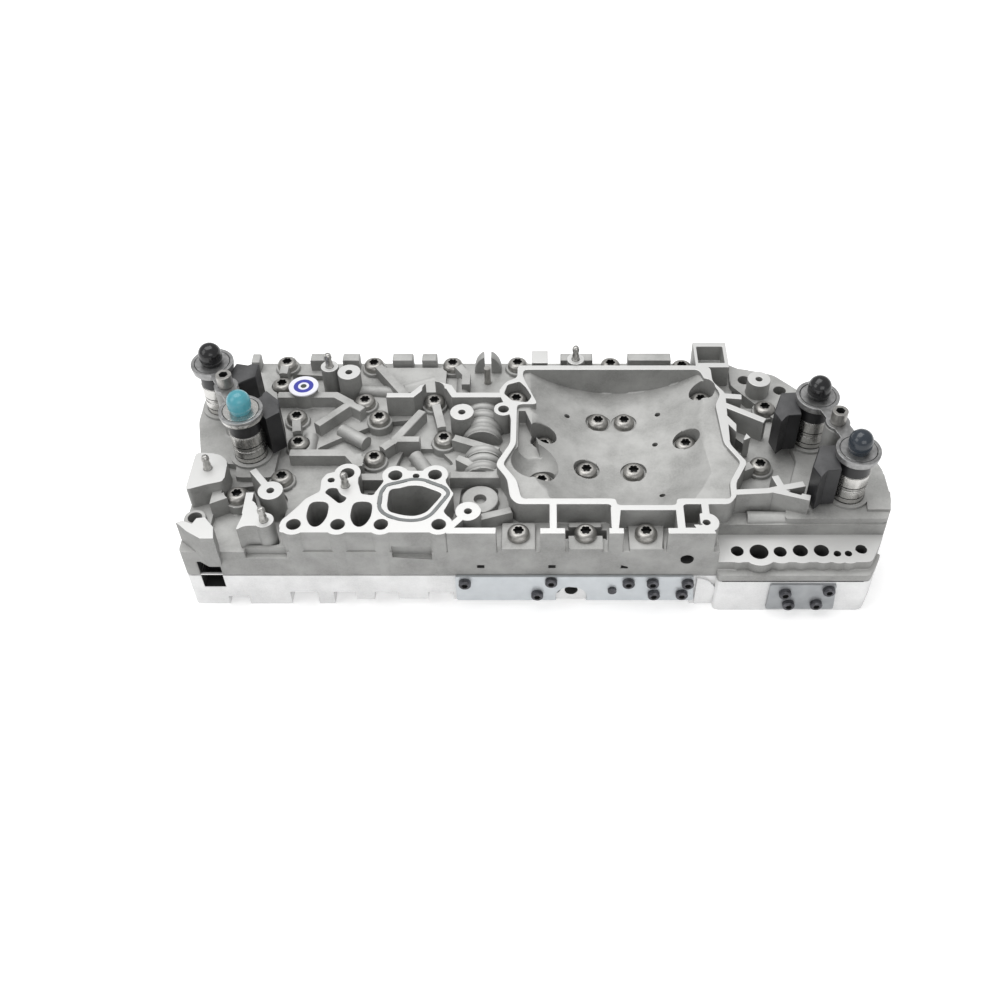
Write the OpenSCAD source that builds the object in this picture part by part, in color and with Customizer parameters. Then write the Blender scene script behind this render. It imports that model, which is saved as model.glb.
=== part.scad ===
/* [Castings] */
// Length of both castings, left edge to right edge
casting_l = 408; // [390:1:430]
// Depth of both castings, front face to back edge
casting_d = 162; // [156:1:172]
// Thickness of the lower casting
lower_h = 25.5; // [24:0.5:30]
// Thickness of the steel separator plate
separator_t = 1; // [0.8:0.1:1.5]
// Height of the upper casting up to its machined top
upper_h = 35; // [34:0.5:38]
// Width of the machined ribs
rib_w = 4.2; // [3.5:0.1:5]
// Drop from the machined top to the cast floor between the ribs
floor_drop = 15.5; // [14:0.5:17]
// Drop from the machined top to the pads under the screw heads
pad_drop = 13; // [11:0.5:13.5]
// Drop from the machined top to the decks that carry the solenoids
deck_drop = 11.5; // [10:0.5:13]
// Drop from the machined top to the flange with the row of holes
row_drop = 24; // [22:0.5:26]
// How far the right end of both castings stands proud of the front face
proud = 4.5; // [3:0.5:6]
// Corner radius of the cast outlines
corner_r = 3; // [2:0.5:4]

/* [Tub] */
// Radius of the round trough in the tub
trough_r = 88; // [84:1:94]
// Depth of the trough below the machined top
trough_drop = 19.2; // [17:0.1:20]
// Diameter of the recess around a screw in the tub
tub_recess_d = 15.5; // [15:0.5:17]

/* [Ports] */
// Diameter of the holes in the port flange
port_hole_d = 7.8; // [6:0.1:9]
// Depth of the ports and holes below the machined top
port_depth = 28; // [20:1:30]
// Width of the seal groove round the large port
groove_w = 2.2; // [1.8:0.1:2.6]
// Depth of the seal groove
groove_depth = 1.6; // [1.2:0.1:2]

/* [Bosses] */
// Diameter of the threaded bosses
boss_d = 14.2; // [12:0.1:16]
// Core diameter of the threads in the bosses
boss_hole_d = 4.2; // [4:0.1:6]
// Depth of the threads in the bosses
boss_hole_depth = 18; // [12:1:24]
// Diameter of the locating pins
pin_d = 4.4; // [3.5:0.1:5.5]
// Height of the locating pins above the machined top
pin_rise = 10; // [7:0.5:12]
// Diameter of the pads under the pins
pin_pad_d = 11; // [9:0.5:13]

/* [Screws] */
// Diameter of the pan heads of the housing screws
head_d = 12.5; // [11:0.1:13.5]
// Height of the pan heads
head_h = 4.5; // [3.5:0.1:5.5]
// Diameter of the shanks of the housing screws
shank_d = 6; // [5:0.1:6.4]
// Diameter of the clearance holes for those shanks
shank_hole_d = 6.6; // [6.5:0.1:7.2]
// Head diameter of the small cover screws
small_head_d = 7; // [6:0.1:8]
// Shank diameter of the small cover screws
small_shank_d = 4; // [3:0.1:4.2]

/* [Solenoids] */
// Diameter of the solenoid cans
can_d = 19; // [17:0.1:20]
// Height of the cans above their deck
can_h = 34; // [30:0.5:38]
// Diameter of the bright washer on top of a can
washer_d = 24; // [22:0.1:25]
// Thickness of the washer
washer_t = 2; // [1.5:0.1:3]
// Diameter of the domed cap
cap_d = 13.4; // [11:0.1:14]
// Height of the domed cap
cap_h = 13; // [12:0.5:18]
// Diameter of the nozzle under a can
nozzle_d = 11; // [9:0.1:13]
// Length of the nozzle in its bore
nozzle_l = 14; // [10:0.5:16]
// Thickness of the hold-down brackets
bracket_t = 2.2; // [1.5:0.1:3]

/* [Cover plates] */
// Thickness of the two front cover plates
cover_t = 1.5; // [1:0.1:2.5]
// Height of the long cover plate as a share of the lower casting's thickness
cover_share = 0.8235; // [0.75:0.005:0.85]

/* [Valves] */
// Diameter of the valve bores in the lower casting
valve_bore_d = 10; // [9:0.1:11]
// Radial running clearance of a spool in its bore
valve_fit = 0.04; // [0.02:0.01:0.08]
// Depth of the valve bores behind the front face
valve_bore_depth = 47; // [44:0.5:48]
// Length of a spool
spool_l = 28; // [26:0.5:30]
// Diameter of the waists between the lands
spool_waist_d = 5.5; // [4.5:0.1:6.5]
// Travel of a spool against its spring
spool_travel = 5; // [3:0.5:6]
// Wire diameter of the valve springs
spring_wire_d = 0.9; // [0.7:0.1:1.1]

/* [Hidden] */
$fn = 64;
overrun = 1;
air = 0.3;

// Heights of the main planes
split_z = lower_h + separator_t;
top_z = split_z + upper_h;
floor_z = top_z - floor_drop;
recess_z = floor_z - 0.25 * floor_drop;
pad_z = top_z - pad_drop;
deck_z = top_z - deck_drop;
row_z = top_z - row_drop;
ridge_z = top_z - 0.45 * floor_drop;
washer_z = deck_z + can_h;

// The part stands with the middle of its box over the origin
front_reach = proud + cover_t + small_head_h();
middle_y = (casting_d - front_reach) / 2;
function small_head_h() = 0.43 * small_head_d;

// Turns a place given in shares of the length and the depth into lengths
function at(share) = [(share[0] - 0.5) * casting_l, share[1] * casting_d];
function all_at(shares) = [for (s = shares) at(s)];

// Sideways unit vector of the line from a to b
function beside(a, b) = [a[1] - b[1], b[0] - a[0]] / norm(b - a);
function mitre(a, b, c) = (beside(a, b) + beside(b, c)) / (1 + beside(a, b) * beside(b, c));
function edge_of(p, i) = i == 0 ? beside(p[0], p[1])
    : i == len(p) - 1 ? beside(p[i - 1], p[i])
    : mitre(p[i - 1], p[i], p[i + 1]);
// Outline of a wall of width w along the path p
function wall_outline(p, w) = concat(
    [for (i = [0:len(p) - 1]) p[i] + edge_of(p, i) * w / 2],
    [for (i = [len(p) - 1:-1:0]) p[i] - edge_of(p, i) * w / 2]
);
// Outline p with its corners cut back by r, in steps of a curve through each corner
steps_share = [0, 0.35, 0.65, 1];
function bend(a, b, c, t) = (1 - t) * (1 - t) * a + 2 * t * (1 - t) * b + t * t * c;
function cut_back(b, a, r) = b + (a - b) * min(r / norm(a - b), 0.45);
function softened(p, r) = [
    for (i = [0:len(p) - 1], t = steps_share)
        let (a = p[(i + len(p) - 1) % len(p)], b = p[i], c = p[(i + 1) % len(p)])
            bend(cut_back(b, a, r), b, cut_back(b, c, r), t)
];

module in_frame() {
    translate([0, -middle_y, 0]) children();
}
module raised(z0, z1) {
    translate([0, 0, z0]) linear_extrude(z1 - z0) children();
}
module wall(shares, w = rib_w) {
    polygon(wall_outline(all_at(shares), w));
}
module outline(shares, r = corner_r) {
    polygon(softened(all_at(shares), r));
}
module drilled(share, d, z0, z1) {
    translate(concat(at(share), z0)) cylinder(d = d, h = z1 - z0);
}
module post(share, d, z0, z1) {
    translate(concat(at(share), z0)) cylinder(d = d, h = z1 - z0);
}
// A bore into the front, at a share of the length and a height, from y0 back to y1
module front_bore(x_share, z, d, y0, y1) {
    translate([at([x_share, 0])[0], y0, z]) rotate([-90, 0, 0]) cylinder(d = d, h = y1 - y0);
}

// Outlines in shares of the length and depth of the castings
body_shares = [
    [0.021, 0], [0.021, 0.43], [0, 0.62], [0, 0.76], [0.045, 0.9], [0.06, 0.985], [0.8, 0.985],
    [0.842, 0.915], [0.872, 0.89], [0.905, 0.8], [0.962, 0.663], [1, 0.37], [1, 0.22],
        [0.983, 0.1], [0.962, 0]
];
right_end_shares = [[0.752, 0], [0.752, 0.1], [0.983, 0.1], [0.962, 0]];
row_flange_shares = [[0.752, -0.1], [0.752, 0.125], [1.01, 0.125], [1.01, -0.1]];
right_deck_shares = [
    [0.845, 0.13], [0.988, 0.13], [0.999, 0.22], [0.999, 0.37], [0.961, 0.662], [0.904, 0.798],
        [0.871, 0.888],
    [0.841, 0.913], [0.803, 0.93], [0.8, 0.83], [0.862, 0.62], [0.878, 0.42], [0.862, 0.3]
];
left_deck_shares = [
    [0.001, 0.62], [0.001, 0.759], [0.045, 0.898], [0.085, 0.9], [0.105, 0.8], [0.13, 0.52],
        [0.13, 0.33],
    [0.075, 0.33], [0.074, 0.395], [0.021, 0.41]
];
tub_outer_shares = [
    [0.474, 0.862], [0.746, 0.862], [0.768, 0.85], [0.768, 0.768], [0.785, 0.7], [0.78, 0.43],
        [0.8, 0.337],
    [0.78, 0.235], [0.779, 0.178], [0.768, 0.134], [0.703, 0.134], [0.703, 0.106], [0.606, 0.106],
    [0.606, 0.134], [0.478, 0.134], [0.468, 0.165], [0.463, 0.255], [0.446, 0.325], [0.466, 0.43],
    [0.466, 0.57], [0.45, 0.68], [0.447, 0.72], [0.458, 0.77], [0.474, 0.79]
];
tub_inner_shares = [
    [0.483, 0.836], [0.75, 0.836], [0.757, 0.776], [0.768, 0.757], [0.777, 0.699], [0.767, 0.638],
    [0.771, 0.433], [0.791, 0.338], [0.771, 0.238], [0.77, 0.16], [0.695, 0.16], [0.695, 0.129],
    [0.613, 0.129], [0.613, 0.16], [0.484, 0.16], [0.477, 0.25], [0.457, 0.328], [0.475, 0.43],
    [0.475, 0.64], [0.505, 0.64], [0.483, 0.79]
];
tub_low_corner_shares = [[0.477, 0.43], [0.477, 0.62], [0.487, 0.62], [0.5, 0.52], [0.51, 0.43]];
rim_pocket_shares = [
    [0.455, 0.7], [0.46, 0.75], [0.478, 0.768], [0.488, 0.73], [0.496, 0.685], [0.49, 0.652],
        [0.468, 0.66]
];
tower_shares = [[0.746, 0.85], [0.746, 1], [0.797, 1], [0.797, 0.85]];
tower_inner_shares = [[0.751, 0.877], [0.751, 0.975], [0.791, 0.975], [0.791, 0.877]];
flange_shares = [
    [0.163, 0.005], [0.163, 0.06], [0.181, 0.125], [0.189, 0.16], [0.207, 0.195], [0.206, 0.25],
        [0.212, 0.28],
    [0.226, 0.292], [0.234, 0.318], [0.248, 0.318], [0.257, 0.29], [0.258, 0.235], [0.264, 0.183],
    [0.281, 0.176], [0.293, 0.24], [0.293, 0.3], [0.308, 0.318], [0.325, 0.293], [0.347, 0.293],
    [0.363, 0.32], [0.379, 0.3], [0.379, 0.24], [0.391, 0.183], [0.379, 0.1], [0.391, 0.06],
        [0.391, 0.005]
];
oval_port_shares = [
    [-0.014, -0.01], [-0.013, 0.045], [-0.008, 0.06], [0.008, 0.06], [0.014, 0.045], [0.014, -0.01],
    [0.008, -0.045], [0, -0.058], [-0.008, -0.045]
];
oval_port_place_shares = [[0.209, 0.086], [0.268, 0.086]];
kidney_shares = [
    [0.214, 0.19], [0.219, 0.209], [0.23, 0.211], [0.233, 0.192], [0.238, 0.176], [0.246, 0.165],
    [0.242, 0.144], [0.236, 0.138], [0.225, 0.165]
];
large_port_shares = [
    [0.302, 0.19], [0.305, 0.206], [0.317, 0.209], [0.328, 0.222], [0.345, 0.222], [0.374, 0.187],
    [0.374, 0.172], [0.356, 0.096], [0.341, 0.079], [0.326, 0.083], [0.306, 0.099], [0.302, 0.122]
];
seal_path_shares = [
    [0.291, 0.19], [0.297, 0.225], [0.315, 0.238], [0.331, 0.253], [0.347, 0.251], [0.379, 0.212],
    [0.385, 0.184], [0.363, 0.085], [0.352, 0.064], [0.338, 0.057], [0.319, 0.063], [0.298, 0.09],
        [0.291, 0.118]
];
flange_hole_shares = [
    [0.18, 0.042], [0.239, 0.042], [0.297, 0.042], [0.374, 0.042], [0.308, 0.272], [0.363, 0.275],
        [0.241, 0.283]
];
small_flange_hole_shares = [[0.22, 0.248], [0.337, 0.268]];

// Machined ribs that reach the top plane
top_rib_shares = [
    [[0.28, 0.691], [0.318, 0.691], [0.332, 0.736], [0.352, 0.756], [0.372, 0.736], [0.381, 0.691],
        [0.452, 0.691]],
    [[0.527, 0], [0.527, 0.15]], [[0.61, 0], [0.61, 0.12]], [[0.698, 0], [0.698, 0.12]],
        [[0.733, 0.04], [0.733, 0.15]],
    [[0.778, 0.191], [0.822, 0.198], [0.84, 0.21], [0.874, 0.231]], [[0.843, 0.2], [0.835, 0.27]],
    [[0.83, 0.2], [0.878, 0.162]], [[0.78, 0.688], [0.808, 0.68]], [[0.778, 0.642], [0.836, 0.55]],
    [[0.774, 0.59], [0.806, 0.455]], [[0.108, 0.3], [0.139, 0.199]], [[0.112, 0.19], [0.113, 0.09]],
    [[0.386, 0.02], [0.412, 0.102]]
];
front_rail_shares = [[0.385, 0.451], [0.509, 0.543], [0.601, 0.621], [0.68, 0.743]];
// Lower cast ridges between the pockets
ridge_shares = [
    [[0.148, 0.428], [0.232, 0.428], [0.253, 0.36]], [[0.25, 0.305], [0.293, 0.305]],
    [[0.334, 0.655], [0.294, 0.48]], [[0.258, 0.91], [0.316, 0.7]], [[0.349, 0.726], [0.368, 0.522]],
    [[0.18, 0.576], [0.225, 0.7]], [[0.113, 0.74], [0.2, 0.74], [0.244, 0.66]], [[0.27, 0.422],
        [0.3, 0.5]],
    [[0.412, 0.102], [0.47, 0.15]], [[0.39, 0.4], [0.448, 0.33]], [[0.368, 0.522], [0.448, 0.44]],
    [[0.824, 0.386], [0.79, 0.34]], [[0.156, 0.49], [0.146, 0.64]], [[0.381, 0.315], [0.455, 0.315]],
    [[0.0655, 0.93], [0.0655, 0.98]], [[0.3, 0.5], [0.334, 0.5]], [[0.06, 0.32], [0.06, 0.2],
        [0.09, 0.24]],
    [[0.25, 0.422], [0.25, 0.36]], [[0.372, 0.944], [0.395, 0.86], [0.395, 0.8]], [[0.113, 0.95],
        [0.113, 0.823]]
];
pocket_shares = [
    [[0.262, 0.2], [0.266, 0.275], [0.288, 0.275], [0.282, 0.2]],
    [[0.849, 0.192], [0.866, 0.208], [0.872, 0.2], [0.866, 0.176]],
    [[0.535, 0.06], [0.535, 0.1], [0.6, 0.1], [0.6, 0.06]],
    [[0.806, 0.64], [0.84, 0.575], [0.845, 0.65], [0.815, 0.675]],
    [[0.79, 0.45], [0.8, 0.45], [0.812, 0.52], [0.795, 0.56]]
];
shallow_pocket_shares = [[0.704, 0.04], [0.704, 0.095], [0.724, 0.095], [0.724, 0.04]];
left_pad_shares = [[0.022, 0.2], [0.022, 0.385], [0.056, 0.378], [0.07, 0.345], [0.072, 0.243],
    [0.05, 0.228]];
web_pad_shares = [[0.104, 0.012], [0.109, 0.08], [0.109, 0.15], [0.12, 0.15], [0.132, 0.1],
    [0.15, 0.08], [0.15, 0.035], [0.114, 0.035]];
corner_post_share = [0.0345, 0.137];
// Parts of the cast floor that lie lower than the rest
floor_recess_shares = [
    [[0.055, 0.1], [0.055, 0.19], [0.075, 0.3], [0.13, 0.32], [0.155, 0.25], [0.155, 0.03],
        [0.07, 0.03]],
    [[0.395, 0.16], [0.397, 0.3], [0.45, 0.3], [0.45, 0.16]],
    [[0.205, 0.45], [0.245, 0.44], [0.285, 0.51], [0.325, 0.66], [0.27, 0.64], [0.215, 0.56],
        [0.18, 0.5]],
    [[0.14, 0.76], [0.2, 0.76], [0.235, 0.7], [0.25, 0.76], [0.22, 0.9], [0.12, 0.92]],
    [[0.3, 0.4], [0.385, 0.42], [0.36, 0.5], [0.31, 0.5]],
    [[0.8, 0.72], [0.86, 0.72], [0.84, 0.85], [0.805, 0.86]]
];
plateau_shares = [[0.262, 0.93], [0.29, 0.785], [0.363, 0.785], [0.363, 0.93]];
right_tab_shares = [[0.965, 0.25], [0.999, 0.25], [0.993, 0.165], [0.961, 0.165]];
// Half-buried pipes cast on the floor, each from one place to another
pipe_shares = [
    [[0.228, 0.819], [0.289, 0.807]], [[0.213, 0.598], [0.253, 0.528]], [[0.327, 0.46],
        [0.3484, 0.373]],
    [[0.17, 0.56], [0.17, 0.47]], [[0.3, 0.82], [0.345, 0.87]], [[0.39, 0.87], [0.39, 0.78]]
];
drum_share = [0.4253, 0.225];
tub_hole_shares = [[0.549, 0.672], [0.686, 0.69], [0.678, 0.528], [0.681, 0.254]];
hollow_share = [0.505, 0.37];
corner_tongue_shares = [[0.022, 0.05], [0.04, 0.01], [0.06, -0.022], [0.078, -0.022],
    [0.074, 0.03], [0.06, 0.074], [0.048, 0.07], [0.044, 0.045], [0.03, 0.06]];
boss_shares = [[0.394, 0.598], [0.218, 0.823], [0.412, 0.102], [0.839, 0.782], [0.732, 0.05],
    [0.139, 0.199]];
ring_boss_share = [0.455, 0.614];
pin_shares = [[0.187, 0.857], [0.563, 0.9], [0.241, 0.222], [0.045, 0.307], [0.139, 0.061]];
disc_share = [0.1515, 0.764];
square_post_shares = [[0.496, 0.875], [0.496, 0.95], [0.52, 0.95], [0.52, 0.875]];
back_bump_spans_share = [[0.15, 0.172], [0.2, 0.226], [0.278, 0.31], [0.324, 0.347], [0.54, 0.59],
    [0.645, 0.712]];

// Places of the screws in shares of the length and the depth
rear_row_shares = [[0.113, 0.95], [0.249, 0.944], [0.372, 0.944], [0.473, 0.946], [0.618, 0.942],
    [0.729, 0.93]];
left_bank_shares = [
    [0.113, 0.823], [0.244, 0.728], [0.269, 0.636], [0.146, 0.64], [0.156, 0.5], [0.349, 0.726],
        [0.368, 0.522],
    [0.27, 0.422], [0.086, 0.238], [0.143, 0.325]
];
right_bank_shares = [[0.824, 0.386], [0.846, 0.69]];
// The third value is the drop to the seat, as a share of the trough's drop
tub_screw_shares = [
    [0.514, 0.53, 1.02], [0.511, 0.345, 1.02], [0.596, 0.665, 1.07], [0.635, 0.665, 1.07],
        [0.576, 0.405, 1.07],
    [0.644, 0.4, 1.07], [0.752, 0.74, 0.72], [0.722, 0.515, 0.86]
];
function tub_seat(s) = top_z - s[2] * trough_drop;
rim_screw_share = [0.473, 0.715];
front_edge_shares = [[0.48, 0.062], [0.571, 0.062], [0.653, 0.062]];
rim_seat_z = pad_z + 0.25 * pad_drop;
trough_x = at([0.623, 0])[0];
trough_axis_z = top_z - trough_drop + trough_r;
front_pad_hw = 0.75 * head_d;

// Bodies of the four solenoids, in shares of the length and depth
front_left_share = [0.0922, 0.4455];
rear_left_share = [0.0325, 0.7018];
front_right_share = [0.9383, 0.248];
rear_right_share = [0.9007, 0.5214];
left_clamp_share = [0.0623, 0.574];
right_clamp_share = [0.9195, 0.385];
solenoid_shares = [front_left_share, rear_left_share, front_right_share, rear_right_share];
nozzle_fit = 0.05;
collar_h = 0.05 * can_h;
back_hole_shares = [[0.8233, 0.857], [0.8749, 0.796]];

// Row of holes in the flange on the right, place shares and diameters as shares of the largest
row_hole_d = 10.4;
row_hole_shares = [
    [0.78, 0.05, 0.68], [0.81, 0.047, 1], [0.839, 0.047, 0.68], [0.867, 0.052, 0.8],
        [0.896, 0.052, 0.8],
    [0.917, 0.038, 0.4], [0.932, 0.038, 0.4], [0.951, 0.058, 0.62]
];
row_rim = 5;
row_band_h = 4.5;

// Front details, in shares of the length and heights as shares of a casting's height
front_slot_shares = [0.428, 0.5255, 0.625];
front_slot_w = 3.6;
front_slot_h = 2.2;
front_hole_share = 0.709;
front_hole_d = 7.4;
lower_hole_share = 0.5525;
lower_hole_z = 0.49 * lower_h;
end_slot_share = [0.041, 0.071];
end_slot_drop = 10;
end_slot_rise = 11;
end_slot_depth = 14;
front_pocket_shares = [[0.11, 0.167], [0.309, 0.363]];
front_pocket_depth = 3.2;

// Lower casting: teeth of the castellated front edge as spans, each with its cut height
notch_spans_share = [[0.07, 0.098, 0.26], [0.158, 0.196, 0.42], [0.219, 0.25, 0.42],
    [0.25, 0.276, 0.15],
    [0.276, 0.309, 0.42], [0.309, 0.352, 0.17], [0.352, 0.387, 0.42], [0.387, 0.72, 0.176]];
skirt_w = 8;
deck_t = 0.58 * lower_h;
tray_z = lower_h - deck_t;
lower_rib_shares = [0.1, 0.19, 0.28, 0.37, 0.46, 0.55, 0.64, 0.73, 0.82, 0.91];
valve_block_spans_share = [[0.39, 0.72], [0.8, 0.93]];

// Cover plates on the front
cover_x_shares = [0.392, 0.725];
cover_z = 0.2 * lower_h;
cover_h = cover_share * lower_h;
cover_slope = 3;
cover_notch_r = 9;
cover_lobe_r = 11.5;
side_cover_x_shares = [0.826, 0.921];
side_cover_z = 0.1 * lower_h;
side_cover_h = 0.86 * lower_h;
front_cover_screw_shares = [
    [0.405, 0.86], [0.505, 0.38], [0.5245, 0.93], [0.6315, 0.88], [0.665, 0.88], [0.668, 0.39],
        [0.707, 0.4], [0.7135, 0.86]
];
side_cover_screw_shares = [[0.848, 0.78], [0.856, 0.33], [0.8945, 0.34], [0.9075, 0.9]];
plug_share = [0.6095, 0.55];
plug_d = 5;
small_shank_gap = 1;
small_shank_l = front_edge_shares[0][1] * casting_d - shank_d / 2 - small_shank_gap;

// Spool valves behind the cover plates
valve_share = [0.445, 0.5255, 0.6095, 0.6875, 0.876];
valve_z = 0.55 * lower_h;
valve_front = [0, 0, 0, 0, -proud];
spool_d = valve_bore_d - 2 * valve_fit;
land_l = 0.2 * spool_l;
spool_end_gap = air;
spool_front_y = valve_bore_depth - spool_end_gap - spool_l;
spring_d = 0.72 * valve_bore_d;
guide_l = spool_front_y - spool_travel - air;
guide_d = spring_d - spring_wire_d * 2 - 2 * air;
spring_turns = 5;

// Ball pockets above the separator plate
ball_d = 5.5;
ball_air = 0.1;
ball_shares = [[0.3, 0.6], [0.34, 0.85], [0.42, 0.3], [0.56, 0.5], [0.68, 0.6], [0.2, 0.85]];

// Upper casting
module body_outline() {
    polygon(softened(all_at(body_shares), corner_r));
}

module proud_end() {
    translate([0, -proud]) polygon(softened(all_at(right_end_shares), corner_r));
}

module row_lobes() {
    for (s = row_hole_shares) translate(at(s)) circle(d = row_hole_d * s[2] + 2 * row_rim);
}

module flange_lobes() {
    for (s = flange_hole_shares) translate(at(s)) circle(d = 1.95 * port_hole_d);
}

module top_ribs() {
    for (s = top_rib_shares) wall(s);
    for (s = front_rail_shares) polygon(wall_outline([at([s[0], 0]) + [0, rib_w / 2], at([s[1],
        0]) + [0, rib_w / 2]], rib_w));
    for (s = boss_shares) translate(at(s)) circle(d = boss_d);
    translate(at(ring_boss_share)) circle(d = 0.82 * boss_d);
    for (s = pin_shares) translate(at(s)) circle(d = pin_pad_d);
    outline(web_pad_shares);
}

module screw_pads() {
    for (s = concat(rear_row_shares, left_bank_shares, right_bank_shares)) {
        translate(at(s)) circle(d = 1.22 * head_d);
    }
}

module front_pads() {
    for (s = front_edge_shares) {
        translate([at(s)[0] - front_pad_hw, 0]) square([2 * front_pad_hw, at(s)[1] + front_pad_hw]);
    }
}

// Half-round housings of the valve bores, lying along the depth with steps in their radius
hump_shares = [[0.424, 0.52, 0.728], [0.428, 0.335, 0.457]];
hump_r = 11;
module bore_hump(s) {
    y0 = s[1] * casting_d;
    l = (s[2] - s[1]) * casting_d;
    for (i = [0:2]) {
        translate([at(s)[0], y0 + i * l / 3, floor_z]) rotate([-90, 0, 0])
            cylinder(r = hump_r * (1 - 0.07 * (i % 2)), h = l / 3);
    }
}

// Cylindrical gallery cast on the wall behind the flange with the row of holes
gallery_share = [0.795, 0.905];
gallery_r = 4.2;
module gallery() {
    y = 0.155 * casting_d;
    translate([at([gallery_share[0], 0])[0], y, floor_z]) rotate([0, 90, 0])
        cylinder(r1 = gallery_r, r2 = 0.75 * gallery_r, h = (gallery_share[1] - gallery_share[0])
            * casting_l);
}

pipe_r = 4.4;
module pipe(s) {
    way = at(s[1]) - at(s[0]);
    translate(concat(at(s[0]), floor_z)) rotate([0, 90, atan2(way[1],
        way[0])]) cylinder(r = pipe_r, h = norm(way));
}

bump_d = 7;
module back_bumps() {
    for (s = back_bump_spans_share) {
        translate([at([s[0], 0])[0], 0.985 * casting_d - bump_d]) square([(s[1] - s[0])
            * casting_l, bump_d]);
    }
}

module upper_solid() {
    raised(split_z, row_z) {
        body_outline();
        row_lobes();
    }
    raised(split_z, split_z + row_band_h) proud_end();
    raised(split_z, recess_z) difference() {
        body_outline();
        polygon(all_at(row_flange_shares));
    }
    raised(recess_z, floor_z) difference() {
        body_outline();
        polygon(all_at(row_flange_shares));
        for (s = floor_recess_shares) outline(s);
    }
    raised(row_z, deck_z) {
        outline(right_deck_shares);
        outline(left_deck_shares);
        outline(plateau_shares);
    }
    post(corner_post_share, 1.6 * port_hole_d, row_z, deck_z);
    raised(row_z, deck_z + collar_h) {
        for (s = solenoid_shares) translate(at(s)) circle(d = 1.3 * can_d);
        polygon(all_at(right_tab_shares));
    }
    raised(split_z, top_z) {
        outline(tub_outer_shares);
        outline(flange_shares, corner_r / 2);
        flange_lobes();
        polygon(all_at(tower_shares));
    }
    raised(row_z, top_z) {
        top_ribs();
        outline(left_pad_shares);
        polygon(all_at(corner_tongue_shares));
        polygon(all_at(square_post_shares));
    }
    raised(row_z, pad_z) {
        screw_pads();
        front_pads();
    }
    raised(row_z, ridge_z) {
        for (s = ridge_shares) wall(s, 1.2 * rib_w);
        back_bumps();
    }
    post(disc_share, disc_d * 0.88, row_z, disc_z);
    for (s = hump_shares) bore_hump(s);
    for (s = pipe_shares) pipe(s);
    post(drum_share, 1.5 * boss_d, row_z, deck_z);
    gallery();
    post(left_clamp_share, 1.1 * head_d, deck_z - overrun, clamp_z);
    post(right_clamp_share, 1.1 * head_d, deck_z - overrun, clamp_z);
}

// The trough in three lengths along the depth: a rise at the front, the round floor, and a step
// down at the back
trough_rise_share = 0.3;
trough_step_share = 0.615;
trough_rise = 7;
trough_step = 0.7;
module trough_length(y0_share, y1_share, r0, r1) {
    translate([trough_x, y0_share * casting_d, trough_axis_z]) rotate([-90, 0, 0])
        cylinder(r1 = r0, r2 = r1, h = (y1_share - y0_share) * casting_d);
}

tub_lip = 2.5;
tub_hole_d = 3.4;
hollow_r = 15;
module trough() {
    intersection() {
        raised(trough_axis_z - trough_r - overrun, top_z + overrun) outline(tub_inner_shares);
        union() {
            trough_length(0, trough_rise_share, trough_r - 2 * trough_rise, trough_r);
            trough_length(trough_rise_share, trough_step_share, trough_r, trough_r);
            trough_length(trough_step_share, 1, trough_r + trough_step, trough_r + trough_step);
        }
    }
    raised(top_z - tub_lip, top_z + overrun) outline(tub_inner_shares);
    raised(pad_z, top_z + overrun) polygon(all_at(tub_low_corner_shares));
    translate(concat(at(hollow_share), top_z - hollow_r / 5)) sphere(r = hollow_r);
    raised(rim_seat_z, top_z + overrun) outline(rim_pocket_shares, corner_r / 2);
    for (s = tub_screw_shares) drilled(s, tub_recess_d, tub_seat(s), top_z + overrun);
    for (s = tub_hole_shares) drilled(s, tub_hole_d, row_z, top_z + overrun);
}

module seal_ring(w) {
    p = softened(all_at(seal_path_shares), corner_r);
    difference() {
        polygon([for (i = [0:len(p) - 1]) p[i] + ring_side(p, i) * w / 2]);
        polygon([for (i = [0:len(p) - 1]) p[i] - ring_side(p, i) * w / 2]);
    }
}
function ring_side(p, i) = mitre(p[(i + len(p) - 1) % len(p)], p[i], p[(i + 1) % len(p)]);

module ports() {
    z0 = top_z - port_depth;
    raised(z0, top_z + overrun) {
        for (s = oval_port_place_shares) {
            translate(at(s) + [casting_l / 2, 0]) outline(oval_port_shares);
        }
        polygon(softened(all_at(kidney_shares), corner_r / 2));
        outline(large_port_shares);
        for (s = flange_hole_shares) translate(at(s)) circle(d = port_hole_d);
        for (s = small_flange_hole_shares) translate(at(s)) circle(d = port_hole_d / 2);
    }
    raised(top_z - groove_depth, top_z + overrun) seal_ring(groove_w);
}

module screw_holes(z0, z1, d) {
    for (s = concat(rear_row_shares, left_bank_shares, right_bank_shares, tub_screw_shares,
        [rim_screw_share], front_edge_shares)) {
        drilled(s, d, z0, z1);
    }
}

module head_room() {
    for (s = concat(rear_row_shares, left_bank_shares, right_bank_shares, front_edge_shares)) {
        drilled(s, head_d + 4 * air, pad_z, top_z + overrun);
    }
    drilled(rim_screw_share, head_d + 2 * air, rim_seat_z, top_z + overrun);
}

// Slot near the left end, open to the front, from z0 up to z1
module end_slot(z0, z1) {
    translate([at([end_slot_share[0], 0])[0], -overrun, z0])
        cube([(end_slot_share[1] - end_slot_share[0]) * casting_l, overrun + end_slot_depth, z1 - z0]);
}

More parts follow.
